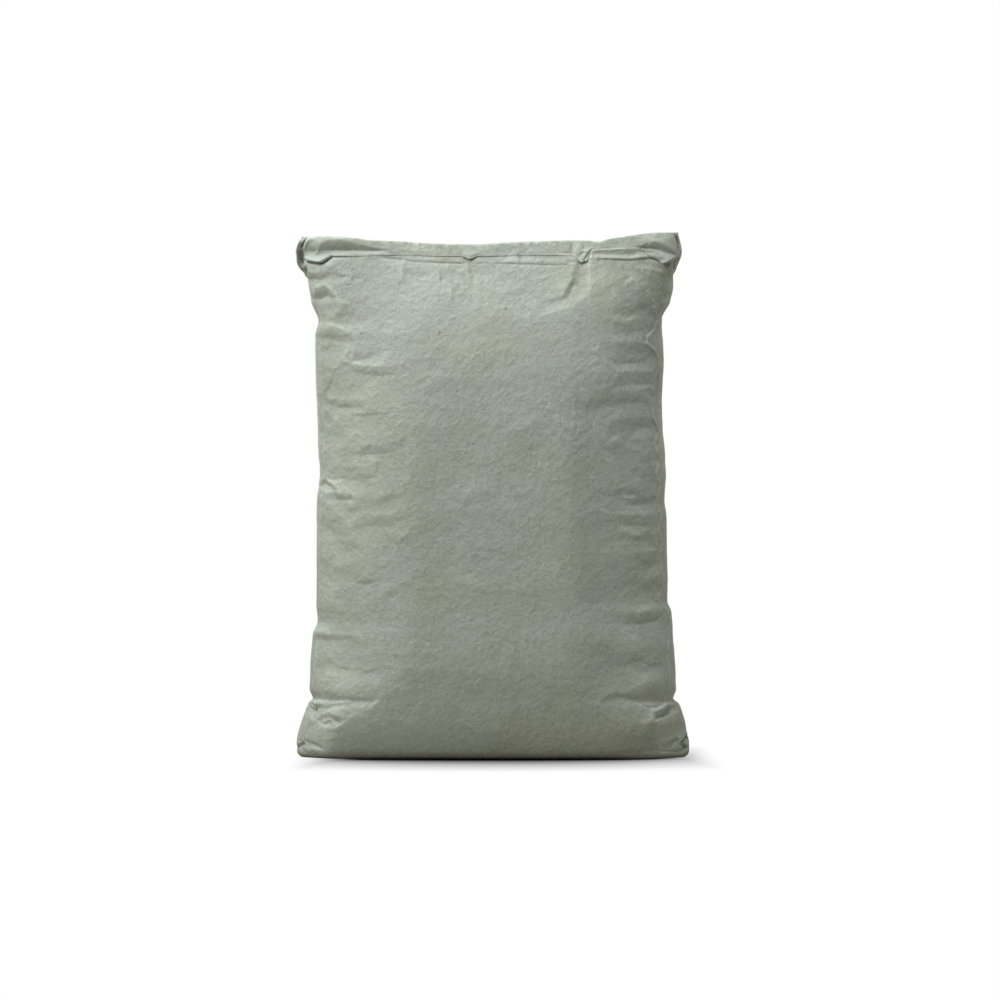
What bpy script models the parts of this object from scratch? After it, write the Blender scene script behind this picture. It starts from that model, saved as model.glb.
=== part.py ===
"""A filled paper cement sack, standing on its folded block bottom with its mouth folded over to the front.

Units are metres, +Z is up, the front faces -Y, and the origin is on the floor under the sack's middle.
The sack is one closed soft solid, the paper tube together with the cement packed inside it. It is built
the way the tube runs: the loop of the flat bottom is extruded upwards through loops of nearly the same
length of paper, and the last loop is closed along the fold of the mouth.
"""

from collections import namedtuple

import bmesh
import bpy
import numpy as np

MM = 0.001

# Driving sizes, in millimetres
SACK_HEIGHT = 551.0  # floor to the highest point of the folded mouth
BODY_HALF_WIDTH = 184.0  # middle plane to a side edge of the full body
EAR_HALF_WIDTH = 206.5  # middle plane to a corner of the block bottom
BELLY_HALF_DEPTH = 57.0  # half the depth where the sack is fullest
BASE_HALF_DEPTH = 45.0  # half the depth of the flat that stands on the floor
NECK_HALF_DEPTH = 8.0  # half the depth where the two walls meet under the mouth
FOLD_HEIGHT = 20.0  # height of the strip that is folded over to the front
FOLD_STEP = 4.0  # how far the folded strip stands proud of the wall it is glued to

# How finely the solid is made
POINTS_PER_SIDE = 30  # segments along the front, and as many along the back
LOOP_SPACING = 20.0  # largest height between two loops of the body
PUCKER_SPACING = 8.0  # height from a pucker's middle to the loops above and below it
CLOSEST_LOOPS = 2.7  # a loop closer than this above another one is left out
SAMPLES = 1001  # points that a wall's length of paper is measured along
SHARP_ANGLE = 50.0  # degrees between faces above which an edge is shaded sharp

# Heights that follow from the driving sizes
MOUTH_HEIGHT = SACK_HEIGHT - 7.0  # the fold's mean height, as the fold dips in the middle
LIP_HEIGHT = MOUTH_HEIGHT - FOLD_HEIGHT  # the free edge of the folded strip
WALL_TOP = LIP_HEIGHT - 0.6  # the wall's last loop, right under the step out to the strip
RISE_FROM = 440.0  # the loops start to follow the dip of the mouth here

# One level loop of the tube: its height, its half widths to the left and right side edge, and its half
# depth. flat is how far across a wall stays flat: 2 is a round belly and 14 a flat strip. end is 0.5
# where the side edge is round, and 1 where it is creased to a point.
Station = namedtuple("Station", "height left right depth flat end")

BODY = (
    # the flat on the floor, and the creased corners of the block bottom
    Station(0, EAR_HALF_WIDTH - 8, EAR_HALF_WIDTH - 7, BASE_HALF_DEPTH, 6.0, 0.80),
    Station(3, EAR_HALF_WIDTH - 3, EAR_HALF_WIDTH - 2.5, BASE_HALF_DEPTH + 4, 6.0, 0.80),
    Station(9, EAR_HALF_WIDTH, EAR_HALF_WIDTH, BELLY_HALF_DEPTH - 5.5, 6.0, 0.80),
    Station(29, EAR_HALF_WIDTH - 3, EAR_HALF_WIDTH - 3, BELLY_HALF_DEPTH - 2.5, 5.0, 0.75),
    Station(50, BODY_HALF_WIDTH + 12, BODY_HALF_WIDTH + 13, BELLY_HALF_DEPTH - 1, 4.0, 0.64),
    Station(80, BODY_HALF_WIDTH + 8, BODY_HALF_WIDTH + 7.5, BELLY_HALF_DEPTH, 2.8, 0.50),
    # the full body, slightly slimmer towards the top
    Station(120, BODY_HALF_WIDTH + 5.5, BODY_HALF_WIDTH + 5, BELLY_HALF_DEPTH, 2.6, 0.50),
    Station(180, BODY_HALF_WIDTH + 1.5, BODY_HALF_WIDTH, BELLY_HALF_DEPTH - 1.5, 2.6, 0.50),
    Station(310, BODY_HALF_WIDTH + 1.5, BODY_HALF_WIDTH - 2, BELLY_HALF_DEPTH - 5, 2.6, 0.50),
    Station(360, BODY_HALF_WIDTH + 2.5, BODY_HALF_WIDTH - 4.5, BELLY_HALF_DEPTH - 7, 2.6, 0.50),
    Station(430, BODY_HALF_WIDTH + 3.5, BODY_HALF_WIDTH - 2, BELLY_HALF_DEPTH - 13, 2.6, 0.50),
    # the walls close in to the neck, and the side edges flare out as the ears of the mouth
    Station(480, BODY_HALF_WIDTH + 7.5, BODY_HALF_WIDTH + 3.5, BELLY_HALF_DEPTH - 25, 2.8, 0.60),
    Station(502, BODY_HALF_WIDTH + 10.5, BODY_HALF_WIDTH + 5.5, BELLY_HALF_DEPTH - 37, 3.6, 0.76),
    Station(514, BODY_HALF_WIDTH + 19, BODY_HALF_WIDTH + 9, NECK_HALF_DEPTH + 5, 5.5, 0.90),
    Station(WALL_TOP, EAR_HALF_WIDTH - 0.5, BODY_HALF_WIDTH + 13, NECK_HALF_DEPTH, 8.0, 1.00),
)

# A pucker is a small fold that pulls a side edge in: how far it pulls in the left and the right one, and
# its height
Pucker = namedtuple("Pucker", "left right height")

PUCKERS = (
    Pucker(4.0, 4.5, 62),  # the crease over the corners of the block bottom
    Pucker(4.0, 0.0, 143),
    Pucker(0.0, 3.5, 163),
    Pucker(0.0, 2.5, 270),
    Pucker(2.5, 0.0, 296),
    Pucker(4.5, 3.5, 459),  # the crease under the ears of the mouth
)
PUCKER_REACH = 7.0  # height over which a pucker fades out

# One loop of the folded strip, which has its own depth to the front and to the back
StripLoop = namedtuple("StripLoop", "height left right front back")

STRIP = (
    StripLoop(LIP_HEIGHT, 206.2, 197.6, NECK_HALF_DEPTH + FOLD_STEP, NECK_HALF_DEPTH - 0.6),
    StripLoop(LIP_HEIGHT + 6, EAR_HALF_WIDTH, 198.2, 11.6, 6.6),
    StripLoop(LIP_HEIGHT + 12.5, 205.8, 197.6, 9.8, 5.4),
    StripLoop(LIP_HEIGHT + 17.5, 202.6, 196.0, 7.2, 3.8),
    StripLoop(MOUTH_HEIGHT, 199.6, 194.6, 4.6, 1.6),
)
STRIP_FLAT = 14.0  # the strip is flat almost to its ends
STRIP_END = 1.0  # where it is creased to a point

# The folded mouth seen from the front: across, and above or below its mean height
MOUTH_LINE = (
    (-206, 2.5),
    (-172, 3.0),
    (-130, -1.0),
    (-90, -3.5),
    (-45, -5.0),
    (0, -4.0),
    (60, -2.0),
    (100, -2.5),
    (125, 0.5),
    (150, 4.5),
    (172, 7.0),
    (198, 6.0),
)

# Kraft paper, dyed grey-green and left matt
PAPER_COLOUR = (0.352, 0.376, 0.309, 1.0)  # linear
PAPER_ROUGHNESS = 0.72


def smooth_line(places, values, at):
    """A smooth line through given points that never overshoots them, read at the places in at.

    It is a cubic between each two points. Its slope at a point is the harmonic mean of the slopes of the
    two chords that meet there, or level where those slopes have different signs.
    """
    places = np.asarray(places, float)
    values = np.asarray(values, float)
    chords = np.diff(values) / np.diff(places)
    before, after = chords[:-1], chords[1:]
    same_way = before * after > 0
    inner = np.where(same_way, 2 * before * after / np.where(same_way, before + after, 1), 0)
    slopes = np.concatenate([chords[:1], inner, chords[-1:]])
    i = np.clip(np.searchsorted(places, at, side="right") - 1, 0, len(chords) - 1)
    step = places[i + 1] - places[i]
    u = (at - places[i]) / step
    start, end = values[i], values[i + 1]
    rise = end - start
    leave = slopes[i] * step - rise
    arrive = rise - slopes[i + 1] * step
    return start + u * rise + u * (1 - u) * ((1 - u) * leave + u * arrive)


def loop_heights():
    """The heights of the body's loops: every station, every pucker, and even steps between them."""
    fixed = {station.height for station in BODY}
    for pucker in PUCKERS:
        fixed |= {pucker.height + i * PUCKER_SPACING for i in (-1, 0, 1)}
    fixed = sorted(fixed)
    kept = [fixed[0]]
    for height in fixed[1:]:
        if height - kept[-1] < CLOSEST_LOOPS and height != WALL_TOP:
            continue
        steps = int(np.ceil((height - kept[-1]) / LOOP_SPACING))
        kept += list(np.linspace(kept[-1], height, steps + 1)[1:])
    return np.array(kept)


def body_loops():
    """The loops of the body, each as height, left, right, front, back, flat and end."""
    at = loop_heights()
    heights = [station.height for station in BODY]
    lines = {
        name: smooth_line(heights, [getattr(station, name) for station in BODY], at)
        for name in ("left", "right", "depth", "flat", "end")
    }
    for pucker in PUCKERS:
        fade = np.exp(-(((at - pucker.height) / PUCKER_REACH) ** 2))
        lines["left"] = lines["left"] - pucker.left * fade
        lines["right"] = lines["right"] - pucker.right * fade
    return list(zip(at, lines["left"], lines["right"], lines["depth"], lines["depth"],
                    lines["flat"], lines["end"]))


def wall_points(left, right, depth, flat, end):
    """Points from the left side edge to the right one along one wall, evenly spaced along the paper.

    The wall stands off the middle plane by depth * (1 - |t| ** flat) ** end, where t runs from -1 at the
    left side edge, over 0 in the middle, to 1 at the right side edge.
    """
    t = np.sin(np.linspace(-0.5, 0.5, SAMPLES) * np.pi)
    across = np.where(t < 0, t * left, t * right)
    out = depth * (1 - np.abs(t) ** flat) ** end
    along = np.concatenate([[0], np.cumsum(np.hypot(np.diff(across), np.diff(out)))])
    even = np.linspace(0, along[-1], POINTS_PER_SIDE + 1)
    return np.interp(even, along, across), np.interp(even, along, out)


def loop_points(height, left, right, front, back, flat, end):
    """One loop as rows of x, y, z in metres: left to right along the front, and back along the back."""
    front_x, front_y = wall_points(left, right, front, flat, end)
    back_x, back_y = wall_points(left, right, back, flat, end)
    x = np.concatenate([front_x, back_x[-2:0:-1]])
    y = np.concatenate([-front_y, back_y[-2:0:-1]])
    places, rises = zip(*MOUTH_LINE)
    share = np.clip((height - RISE_FROM) / (MOUTH_HEIGHT - RISE_FROM), 0, 1) ** 2
    z = height + share * np.interp(x, places, rises)
    return np.column_stack([x, y, z]) * MM


def extrude_loop(bm, edges, place, points):
    """Extrudes a closed loop of edges, moves the new loop to the given points and returns its edges."""
    made = bmesh.ops.extrude_edge_only(bm, edges=edges)["geom"]
    verts = {item for item in made if isinstance(item, bmesh.types.BMVert)}
    for vert in verts:
        vert.co = points[vert[place]]
    return [edge for edge in made if isinstance(edge, bmesh.types.BMEdge) and verts.issuperset(edge.verts)]


def close_mouth(bm, edges, place):
    """Closes the last loop: each stretch of its front half is joined to the back half behind it."""
    around = 2 * POINTS_PER_SIDE
    verts = {vert[place]: vert for edge in edges for vert in edge.verts}
    for i in range(POINTS_PER_SIDE):
        corners = [i, i + 1, (around - i - 1) % around, (around - i) % around]
        bm.faces.new([verts[corner] for corner in dict.fromkeys(corners)])


def sack_mesh():
    """The closed mesh of the sack, from the flat bottom to the folded mouth."""
    strip = [(*loop, STRIP_FLAT, STRIP_END) for loop in STRIP]
    loops = [loop_points(*loop) for loop in body_loops() + strip]
    bm = bmesh.new()
    place = bm.verts.layers.int.new("place")
    base = [bm.verts.new(point) for point in loops[0]]
    for i, vert in enumerate(base):
        vert[place] = i
    bm.faces.new(base)
    edges = list(bm.edges)
    for points in loops[1:]:
        edges = extrude_loop(bm, edges, place, points)
    close_mouth(bm, edges, place)
    bmesh.ops.recalc_face_normals(bm, faces=bm.faces)
    mesh = bpy.data.meshes.new("paper_sack")
    bm.to_mesh(mesh)
    bm.free()
    mesh.shade_smooth()
    mesh.set_sharp_from_angle(angle=np.radians(SHARP_ANGLE))
    return mesh


def kraft_paper():
    """Matt grey-green kraft paper."""
    material = bpy.data.materials.new("sack_paper")
    material.use_nodes = True
    shader = material.node_tree.nodes["Principled BSDF"]
    shader.inputs["Base Color"].default_value = PAPER_COLOUR
    shader.inputs["Roughness"].default_value = PAPER_ROUGHNESS
    shader.inputs["Metallic"].default_value = 0.0
    return material


def main():
    for old in list(bpy.data.objects):
        bpy.data.objects.remove(old)
    mesh = sack_mesh()
    mesh.materials.append(kraft_paper())
    bpy.context.scene.collection.objects.link(bpy.data.objects.new("paper_sack", mesh))


main()
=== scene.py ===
"""A filled cement sack, as it looks: creased grey-green kraft paper round 25 kg of settled cement."""

import bmesh
import bpy
import numpy as np
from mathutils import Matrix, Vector
from mathutils.geometry import delaunay_2d_cdt


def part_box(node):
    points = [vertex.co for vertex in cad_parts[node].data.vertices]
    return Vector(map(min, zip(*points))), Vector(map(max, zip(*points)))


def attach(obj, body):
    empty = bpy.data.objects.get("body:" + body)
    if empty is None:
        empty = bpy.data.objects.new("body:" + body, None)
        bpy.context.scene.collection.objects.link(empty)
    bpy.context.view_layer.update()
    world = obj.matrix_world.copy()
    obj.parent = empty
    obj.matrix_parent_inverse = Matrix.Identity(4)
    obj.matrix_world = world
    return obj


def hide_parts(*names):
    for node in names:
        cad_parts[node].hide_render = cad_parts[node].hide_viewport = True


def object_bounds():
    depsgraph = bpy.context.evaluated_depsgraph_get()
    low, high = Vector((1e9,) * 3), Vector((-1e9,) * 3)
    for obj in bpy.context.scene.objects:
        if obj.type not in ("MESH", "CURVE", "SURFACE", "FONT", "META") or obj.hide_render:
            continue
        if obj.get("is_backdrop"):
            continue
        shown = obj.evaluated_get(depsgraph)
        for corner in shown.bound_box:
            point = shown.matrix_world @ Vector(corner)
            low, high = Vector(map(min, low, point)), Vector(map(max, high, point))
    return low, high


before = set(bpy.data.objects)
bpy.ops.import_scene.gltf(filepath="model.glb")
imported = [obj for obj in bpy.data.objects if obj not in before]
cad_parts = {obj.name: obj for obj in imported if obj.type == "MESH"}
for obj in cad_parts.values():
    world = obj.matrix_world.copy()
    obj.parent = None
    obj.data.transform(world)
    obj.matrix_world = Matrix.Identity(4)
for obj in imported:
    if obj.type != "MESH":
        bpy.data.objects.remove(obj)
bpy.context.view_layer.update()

# The sack
# One tube of sack kraft, 820 mm round, that cement has filled, so that it is fullest low down. The mill
# folded and glued its bottom into a flat block. The filler folded its mouth over to the front and glued
# it down, so a strip of paper with a free lower edge runs across the top of the front.

MM = 0.001
AROUND = 820.0  # length of paper round the tube

sack_high = np.array(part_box("paper_sack")[1]) / MM
BELLY = sack_high[1] + 2.5  # half the depth where the sack is fullest, 2.5 mm more than its solid has

# Half widths of the sack as seen from the front, by height above the floor. Each sharp step in is a
# pucker, where the side edge of the tube has folded in on itself.
LEFT_EDGE = (
    (0, 206.5), (19, 205.8), (29, 203.7), (39, 200.5), (48, 197.4), (58, 193.0), (62, 189.0), (72, 192.4),
    (98, 191.7), (129, 188.7), (143, 184.0), (161, 185.8), (200, 185.2), (271, 186.0), (296, 183.2),
    (334, 185.8), (376, 186.9), (442, 187.6), (458, 183.4), (479, 191.3), (505, 194.0), (509, 198.5),
    (515, 203.7), (523, 206.2), (531, 206.8), (538, 205.0), (544, 201.8), (548, 199.3),
)
RIGHT_EDGE = (
    (0, 206.6), (19, 206.2), (29, 203.6), (38, 201.9), (46, 199.3), (56, 195.5), (62, 189.0), (71, 191.6),
    (87, 191.7), (108, 190.4), (129, 188.8), (153, 187.0), (164, 182.8), (183, 183.6), (224, 182.5),
    (250, 182.0), (270, 179.8), (305, 181.9), (360, 179.3), (413, 181.4), (461, 178.8), (479, 187.2),
    (495, 189.8), (508, 189.2), (514, 192.6), (521, 195.8), (531, 198.2), (540, 196.7), (550, 194.0),
)

# The sack's section by height: its half depth, how much of that a wall loses in a bevel towards its side
# edges, the powers that round it off at the edges, and how much of it is the hexagon of the block bottom.
SECTIONS = (
    # height, half depth, bevel, flat, end, block
    (0, BELLY - 22.5, 0.3, 14, 0.55, 1.0),
    (5, BELLY - 18.7, 0.3, 14, 0.55, 1.0),
    (12, BELLY - 15.3, 0.3, 14, 0.55, 1.0),
    (30, BELLY - 9.6, 0.5, 14, 0.55, 0.9),
    (62, BELLY - 4.0, 0.7, 14, 0.52, 0.35),
    (100, BELLY, 1.06, 14, 0.50, 0.0),
    (180, BELLY - 1.3, 1.06, 14, 0.50, 0.0),
    (250, BELLY - 4.0, 1.06, 14, 0.50, 0.0),
    (310, BELLY - 7.2, 1.06, 14, 0.50, 0.0),
    (350, BELLY - 9.9, 1.06, 14, 0.50, 0.0),
    (380, BELLY - 12.8, 1.06, 14, 0.50, 0.0),
    (410, BELLY - 16.5, 1.04, 14, 0.50, 0.0),
    (440, BELLY - 21.8, 1.0, 14, 0.50, 0.0),
    (460, BELLY - 26.4, 0.92, 14, 0.52, 0.0),
    (480, BELLY - 32.6, 0.7, 12, 0.58, 0.0),
    (502, BELLY - 40.0, 0.5, 12, 0.72, 0.0),
    (514, 15.9, 0.2, 14, 0.8, 0.0),
    (526, 12.1, 0.0, 20, 0.9, 0.0),
    (540, 8.3, 0.0, 30, 1.0, 0.0),
    (551, 5.4, 0.0, 40, 1.0, 0.0),
)
BEVEL_FROM = 0.46  # a wall is flat this far out from its middle, as a share of its half width
BEVEL_SOFT = 0.07  # how gently the bevel sets in, as the same share
BLOCK_CORNER = 0.84  # where the corner facet of the block bottom starts, as a share of the half width
BLOCK_SOFT = 0.05  # how rounded that corner is
BLOCK_CLOSE = 0.05  # the last share of the facet, over which it closes to the side edge
BOTTOM_ROUND = 8.5  # radius of the edge between the walls and the bottom
SEAM = 0.8  # length of the line that the rows of the bottom start from, as a share of the width

# The fold of the mouth and the free edge of its folded strip: distance across, height
RIDGE_LINE = (
    (-200, 546.3), (-172, 547.0), (-152, 545.5), (-131, 542.9), (-100, 541.8), (-68, 539.7), (-37, 538.7),
    (-16, 538.7), (16, 540.8), (47, 541.8), (89, 542.9), (100, 542.6), (110, 541.0), (121, 543.9),
    (142, 547.0), (163, 550.2), (180, 551.0), (200, 551.0),
)
LIP_LINE = (
    (-205, 525.0), (-199.4, 524.0), (-197, 520.8), (-184, 519.2), (-180, 518.6), (-174.5, 521.6),
    (-168, 525.3), (-152, 525.3), (-115, 526.4), (-87, 526.6), (-60, 525.4), (-34, 525.5), (-30.5, 524.5),
    (-24, 522.2), (-17, 525.2), (30, 526.4), (84, 526.1), (86.5, 524.5), (89, 520.8), (94, 518.9),
    (99.5, 521.0), (101.7, 529.2), (104, 532.4), (152.5, 534.6), (156, 531.0), (164.7, 525.2), (175, 520.8),
    (181, 517.3), (186, 520.3), (192, 523.4), (196, 526.0), (205, 526.0),
)
LIP_MEAN = 526.0  # the height that the rest of the lip differs from
RISE_FROM = 430.0  # above this height the rows of the walls follow the lip
FLAP_ENDS = (-199.4, 194.4)  # the folded strip ends short of the ears

# How far the free edge of the strip stands off the wall, by distance across
LIP_GAP = (
    (-200, 0.8), (-190, 1.0), (-181, 1.5), (-174, 1.0), (-167, 0.25), (-150, 0.05), (-120, 0.05),
    (-108, 0.3), (-98, 0.05), (-34, 0.05), (-24, 0.5), (-16, 0.05), (40, 0.05), (70, 0.1), (86, 0.1),
    (95, 0.1), (104, 0.1), (120, 0.3), (148, 0.5), (163, 0.8), (174, 1.4), (182, 2.2), (190, 1.6),
    (200, 1.0),
)
# How thick the paper of the strip is, by distance across
STRIP_THICK = (
    (-200, 0.6), (-182, 0.7), (-160, 0.3), (-120, 0.12), (-108, 0.4), (-90, 0.22), (-34, 0.2), (-24, 0.6),
    (-14, 0.2), (20, 0.12), (36, 0.12), (44, 0.35), (70, 0.35), (84, 0.35), (96, 0.3), (104, 0.3),
    (150, 0.4), (165, 0.7), (200, 0.8),
)

FLAP_FADE = 1.5  # the strip runs out over this length at its ends
UNDER_LIP = 0.5  # the last row of the walls lies this far below the lip
BESIDE_STRIP = 1.3  # how far the rows that turn round the strip's edge rise where there is no strip

# How finely the paper is made
COLUMNS = 460  # faces across the front, and as many across the back
CROWDING = 0.42  # the share by which columns are narrower by the side edges, and wider in the middle
WALL_ROWS = ((0, 0.9), (75, 0.9), (95, 1.35), (480, 1.35), (500, 0.8), (530, 0.8))  # height, row's height
BOTTOM_ROWS = 36  # rows of faces from the middle of the bottom to its rim
EDGE_ROWS = 10  # rows of faces round the edge between the bottom and the walls
FLAP_ROWS = 24  # rows of faces up the folded strip
FLAP_CROWDING = 1.25  # the power that draws those rows together towards the fold
LOOP_POINTS = 1201  # points that a loop of the section is measured with
UP_STEP = 0.1  # steps of height in which the rows are counted
FOLLOW = 3  # the power with which the rows of the walls take on the shape of the lip


def column_shares():
    """Where the columns stand between the side edges, from -1 to 1: t + crowding * sin(pi * t) / pi."""
    t = np.linspace(-1, 1, COLUMNS + 1)
    return t + CROWDING * np.sin(np.pi * t) / np.pi


def smooth_line(places, values, at):
    """A smooth line through given points that never overshoots them, read at the places in at.

    It is a cubic between each two points. Its slope at a point is the harmonic mean of the slopes of the
    two chords that meet there, or level where those slopes have different signs.
    """
    places = np.asarray(places, float)
    values = np.asarray(values, float)
    at = np.clip(at, places[0], places[-1])
    chords = np.diff(values) / np.diff(places)
    before, after = chords[:-1], chords[1:]
    same_way = before * after > 0
    inner = np.where(same_way, 2 * before * after / np.where(same_way, before + after, 1), 0)
    slopes = np.concatenate([chords[:1], inner, chords[-1:]])
    i = np.clip(np.searchsorted(places, at, side="right") - 1, 0, len(chords) - 1)
    step = places[i + 1] - places[i]
    u = (at - places[i]) / step
    rise = values[i + 1] - values[i]
    leave = slopes[i] * step - rise
    arrive = rise - slopes[i + 1] * step
    return values[i] + u * rise + u * (1 - u) * ((1 - u) * leave + u * arrive)


def read_line(line, at, value=1):
    """smooth_line through the first column of some rows and another one of their columns."""
    return smooth_line([row[0] for row in line], [row[value] for row in line], at)


def straight_line(line, at, value=1):
    """Straight lines through the first column of some rows and another one of their columns."""
    return np.interp(at, [row[0] for row in line], [row[value] for row in line])


def smooth_step(start, end, at):
    """0 before start, 1 past end, and an S between them. start may be the greater of the two."""
    u = np.clip((at - start) / (end - start), 0, 1)
    return u * u * (3 - 2 * u)


def section(t, height):
    """How far a wall stands off the middle plane at t, from -1 at its left edge to 1 at its right one.

    A blend of two profiles. One is flat and then bevelled, depth * (1 - bevel * over) * (1 - |t| ** flat)
    ** end, where over is how far out t is past the start of the bevel. The other is the hexagon of the
    block bottom, which is flat to the corner facet and then straight to the side edge.
    """
    depth, bevel, flat, end, block = (read_line(SECTIONS, height, i) for i in (1, 2, 3, 4, 5))
    over = np.abs(t) - BEVEL_FROM
    over = (over + np.sqrt(over**2 + BEVEL_SOFT**2)) / 2
    belly = (1 - bevel * over) * (1 - np.abs(t) ** flat) ** end
    away = (1 - np.abs(t)) / (1 - BLOCK_CORNER)
    hexagon = (1 + away - np.sqrt((1 - away) ** 2 + BLOCK_SOFT)) / 2
    hexagon = np.clip(hexagon, 0, None) * np.clip(away / BLOCK_CLOSE, 0, 1)
    return depth * ((1 - block) * belly + block * hexagon)


def wall_loop(height):
    """x and y of the points of one wall at a height, from left to right."""
    t = np.sin(np.linspace(-0.5, 0.5, LOOP_POINTS) * np.pi)
    across = np.where(t < 0, t * read_line(LEFT_EDGE, height), t * read_line(RIGHT_EDGE, height))
    out = section(t, height)
    along = np.concatenate([[0], np.cumsum(np.hypot(np.diff(across), np.diff(out)))])
    stops = (column_shares() + 1) / 2 * along[-1]
    return np.interp(stops, along, across), np.interp(stops, along, out)


def ring(front, back):
    """One array of the front, left to right, and of the back, right to left, without its two edges."""
    return np.concatenate([front, back[:, -2:0:-1]], axis=1)


def bottom_and_walls():
    """Rows of points from the middle of the bottom, out to its rim and up the walls to the lip.

    A row of the bottom is its rim drawn in towards a line in the middle. A row of the walls is a loop of
    the section, and in the lowest ones the loop is drawn in along a quarter circle, the bottom's edge.
    """
    turn = np.linspace(0, np.pi / 2, EDGE_ROWS + 1)
    row_at = np.arange(BOTTOM_ROUND, LIP_MEAN, UP_STEP)
    rows_up = np.cumsum(UP_STEP / read_line(WALL_ROWS, row_at))
    walls = np.interp(np.arange(1, rows_up[-1] - 0.5), rows_up, row_at)
    heights = np.concatenate([BOTTOM_ROUND * (1 - np.cos(turn)), walls, [LIP_MEAN - UNDER_LIP]])
    loops = [wall_loop(height) for height in heights]
    x = np.array([loop[0] for loop in loops])
    y = np.array([loop[1] for loop in loops])
    height = heights[:, None] + 0 * x
    inset = BOTTOM_ROUND - np.sqrt(BOTTOM_ROUND**2 - np.clip(BOTTOM_ROUND - height, 0, None) ** 2)
    x = x * (1 - inset / sack_high[0])
    y = y * (1 - inset / BELLY)
    share = np.clip((height - RISE_FROM) / (LIP_MEAN - RISE_FROM), 0, 1) ** FOLLOW
    z = height + share * (straight_line(LIP_LINE, x) - LIP_MEAN)
    out = np.linspace(0, 1, BOTTOM_ROWS + 1)[:-1, None]
    x = np.concatenate([x[0] * (SEAM + (1 - SEAM) * out), x])
    y = np.concatenate([y[0] * out, y])
    z = np.concatenate([0 * out + 0 * z[0], z])
    return x, y, z


def folded_mouth(x):
    """Rows on from the lip: height and distance out from the wall, first of the front, then of the back.

    On the front the paper goes up behind the folded strip, turns down again along the strip's inner side,
    turns round its free edge and goes up its outer side to the fold. On the back it goes straight up.
    """
    lip = straight_line(LIP_LINE, x)
    ridge = read_line(RIDGE_LINE, x)
    gap = straight_line(LIP_GAP, x)
    thick = straight_line(STRIP_THICK, x)
    left, right = FLAP_ENDS
    covered = smooth_step(left, left + FLAP_FADE, x) * smooth_step(right, right - FLAP_FADE, x)
    hidden = (
        # height over the lip, how far out: shares of the gap and of the strip's thickness
        (1.2, 0.0, 0.0), (2.8, 0.0, 0.0), (4.2, 0.3, 0.0), (4.2, 0.7, 0.0), (2.8, 1.0, 0.0),
        (1.2, 1.0, 0.0), (0.25, 1.0, 0.1), (0.0, 1.0, 0.35), (0.0, 1.0, 0.7), (0.25, 1.0, 0.95),
        (0.8, 1.0, 1.0),
    )
    front, back = [], []
    for i, (over, gaps, thicks) in enumerate(hidden):
        even = BESIDE_STRIP * (i + 1) / len(hidden) - UNDER_LIP
        z = lip + even
        front.append((z + (lip + over - z) * covered, (gaps * gap + thicks * thick) * covered))
        back.append((z, 0 * x))
    top = front[-1][0]
    for u in 1 - (1 - np.linspace(0, 1, FLAP_ROWS + 1)[1:]) ** FLAP_CROWDING:
        z = top + (ridge - top) * u
        front.append((z, (gap * (1 - u) ** 2 + thick) * covered))
        back.append((z, 0 * x))
    return front, back


x, y, z = bottom_and_walls()
front, back = folded_mouth(x[-1])
wall_rows = len(x)


def rising_depth(height):
    """The half depth at a height over the lip, as a share of that at the lip."""
    return read_line(SECTIONS, height) / read_line(SECTIONS, LIP_MEAN)


def upper_rows(rows, lowered=0.0):
    """How far each row on from the lip stands off the middle plane: the wall's own depth and the row's."""
    return [(y[-1] * rising_depth(height + lowered) + out)[None] for height, out in rows]


front_x = np.concatenate([x] + [x[-1:]] * len(front))
front_y = np.concatenate([y] + upper_rows(front))
front_z = np.concatenate([z] + [height[None] for height, out in front])
# the back has no lip, so its depth is read as if the lip ran level
back_y = np.concatenate([y] + upper_rows(back, LIP_MEAN - straight_line(LIP_LINE, x[-1])))
back_z = np.concatenate([z] + [height[None] for height, out in back])
edge = np.where(front_x < 0, -read_line(LEFT_EDGE, front_z), read_line(RIGHT_EDGE, front_z))
ends = np.where(front_x < 0, front_x[:, :1], front_x[:, -1:])
front_x[wall_rows:] *= (edge / ends)[wall_rows:]
points = np.stack([ring(front_x, front_x), ring(-front_y, back_y), ring(front_z, back_z)], axis=-1)
across = column_shares() * AROUND / 4
places = np.concatenate([across, across[1:-1] + AROUND / 2])[None] + 0 * points[..., 0]
heights = points[..., 2]

# The folds and dents of the paper
# Kraft paper creases sharply and stays flat between its creases, so its relief is a net of flat facets.
# Each fold is a line of distance across, height, and how far the paper stands out there.

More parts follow.
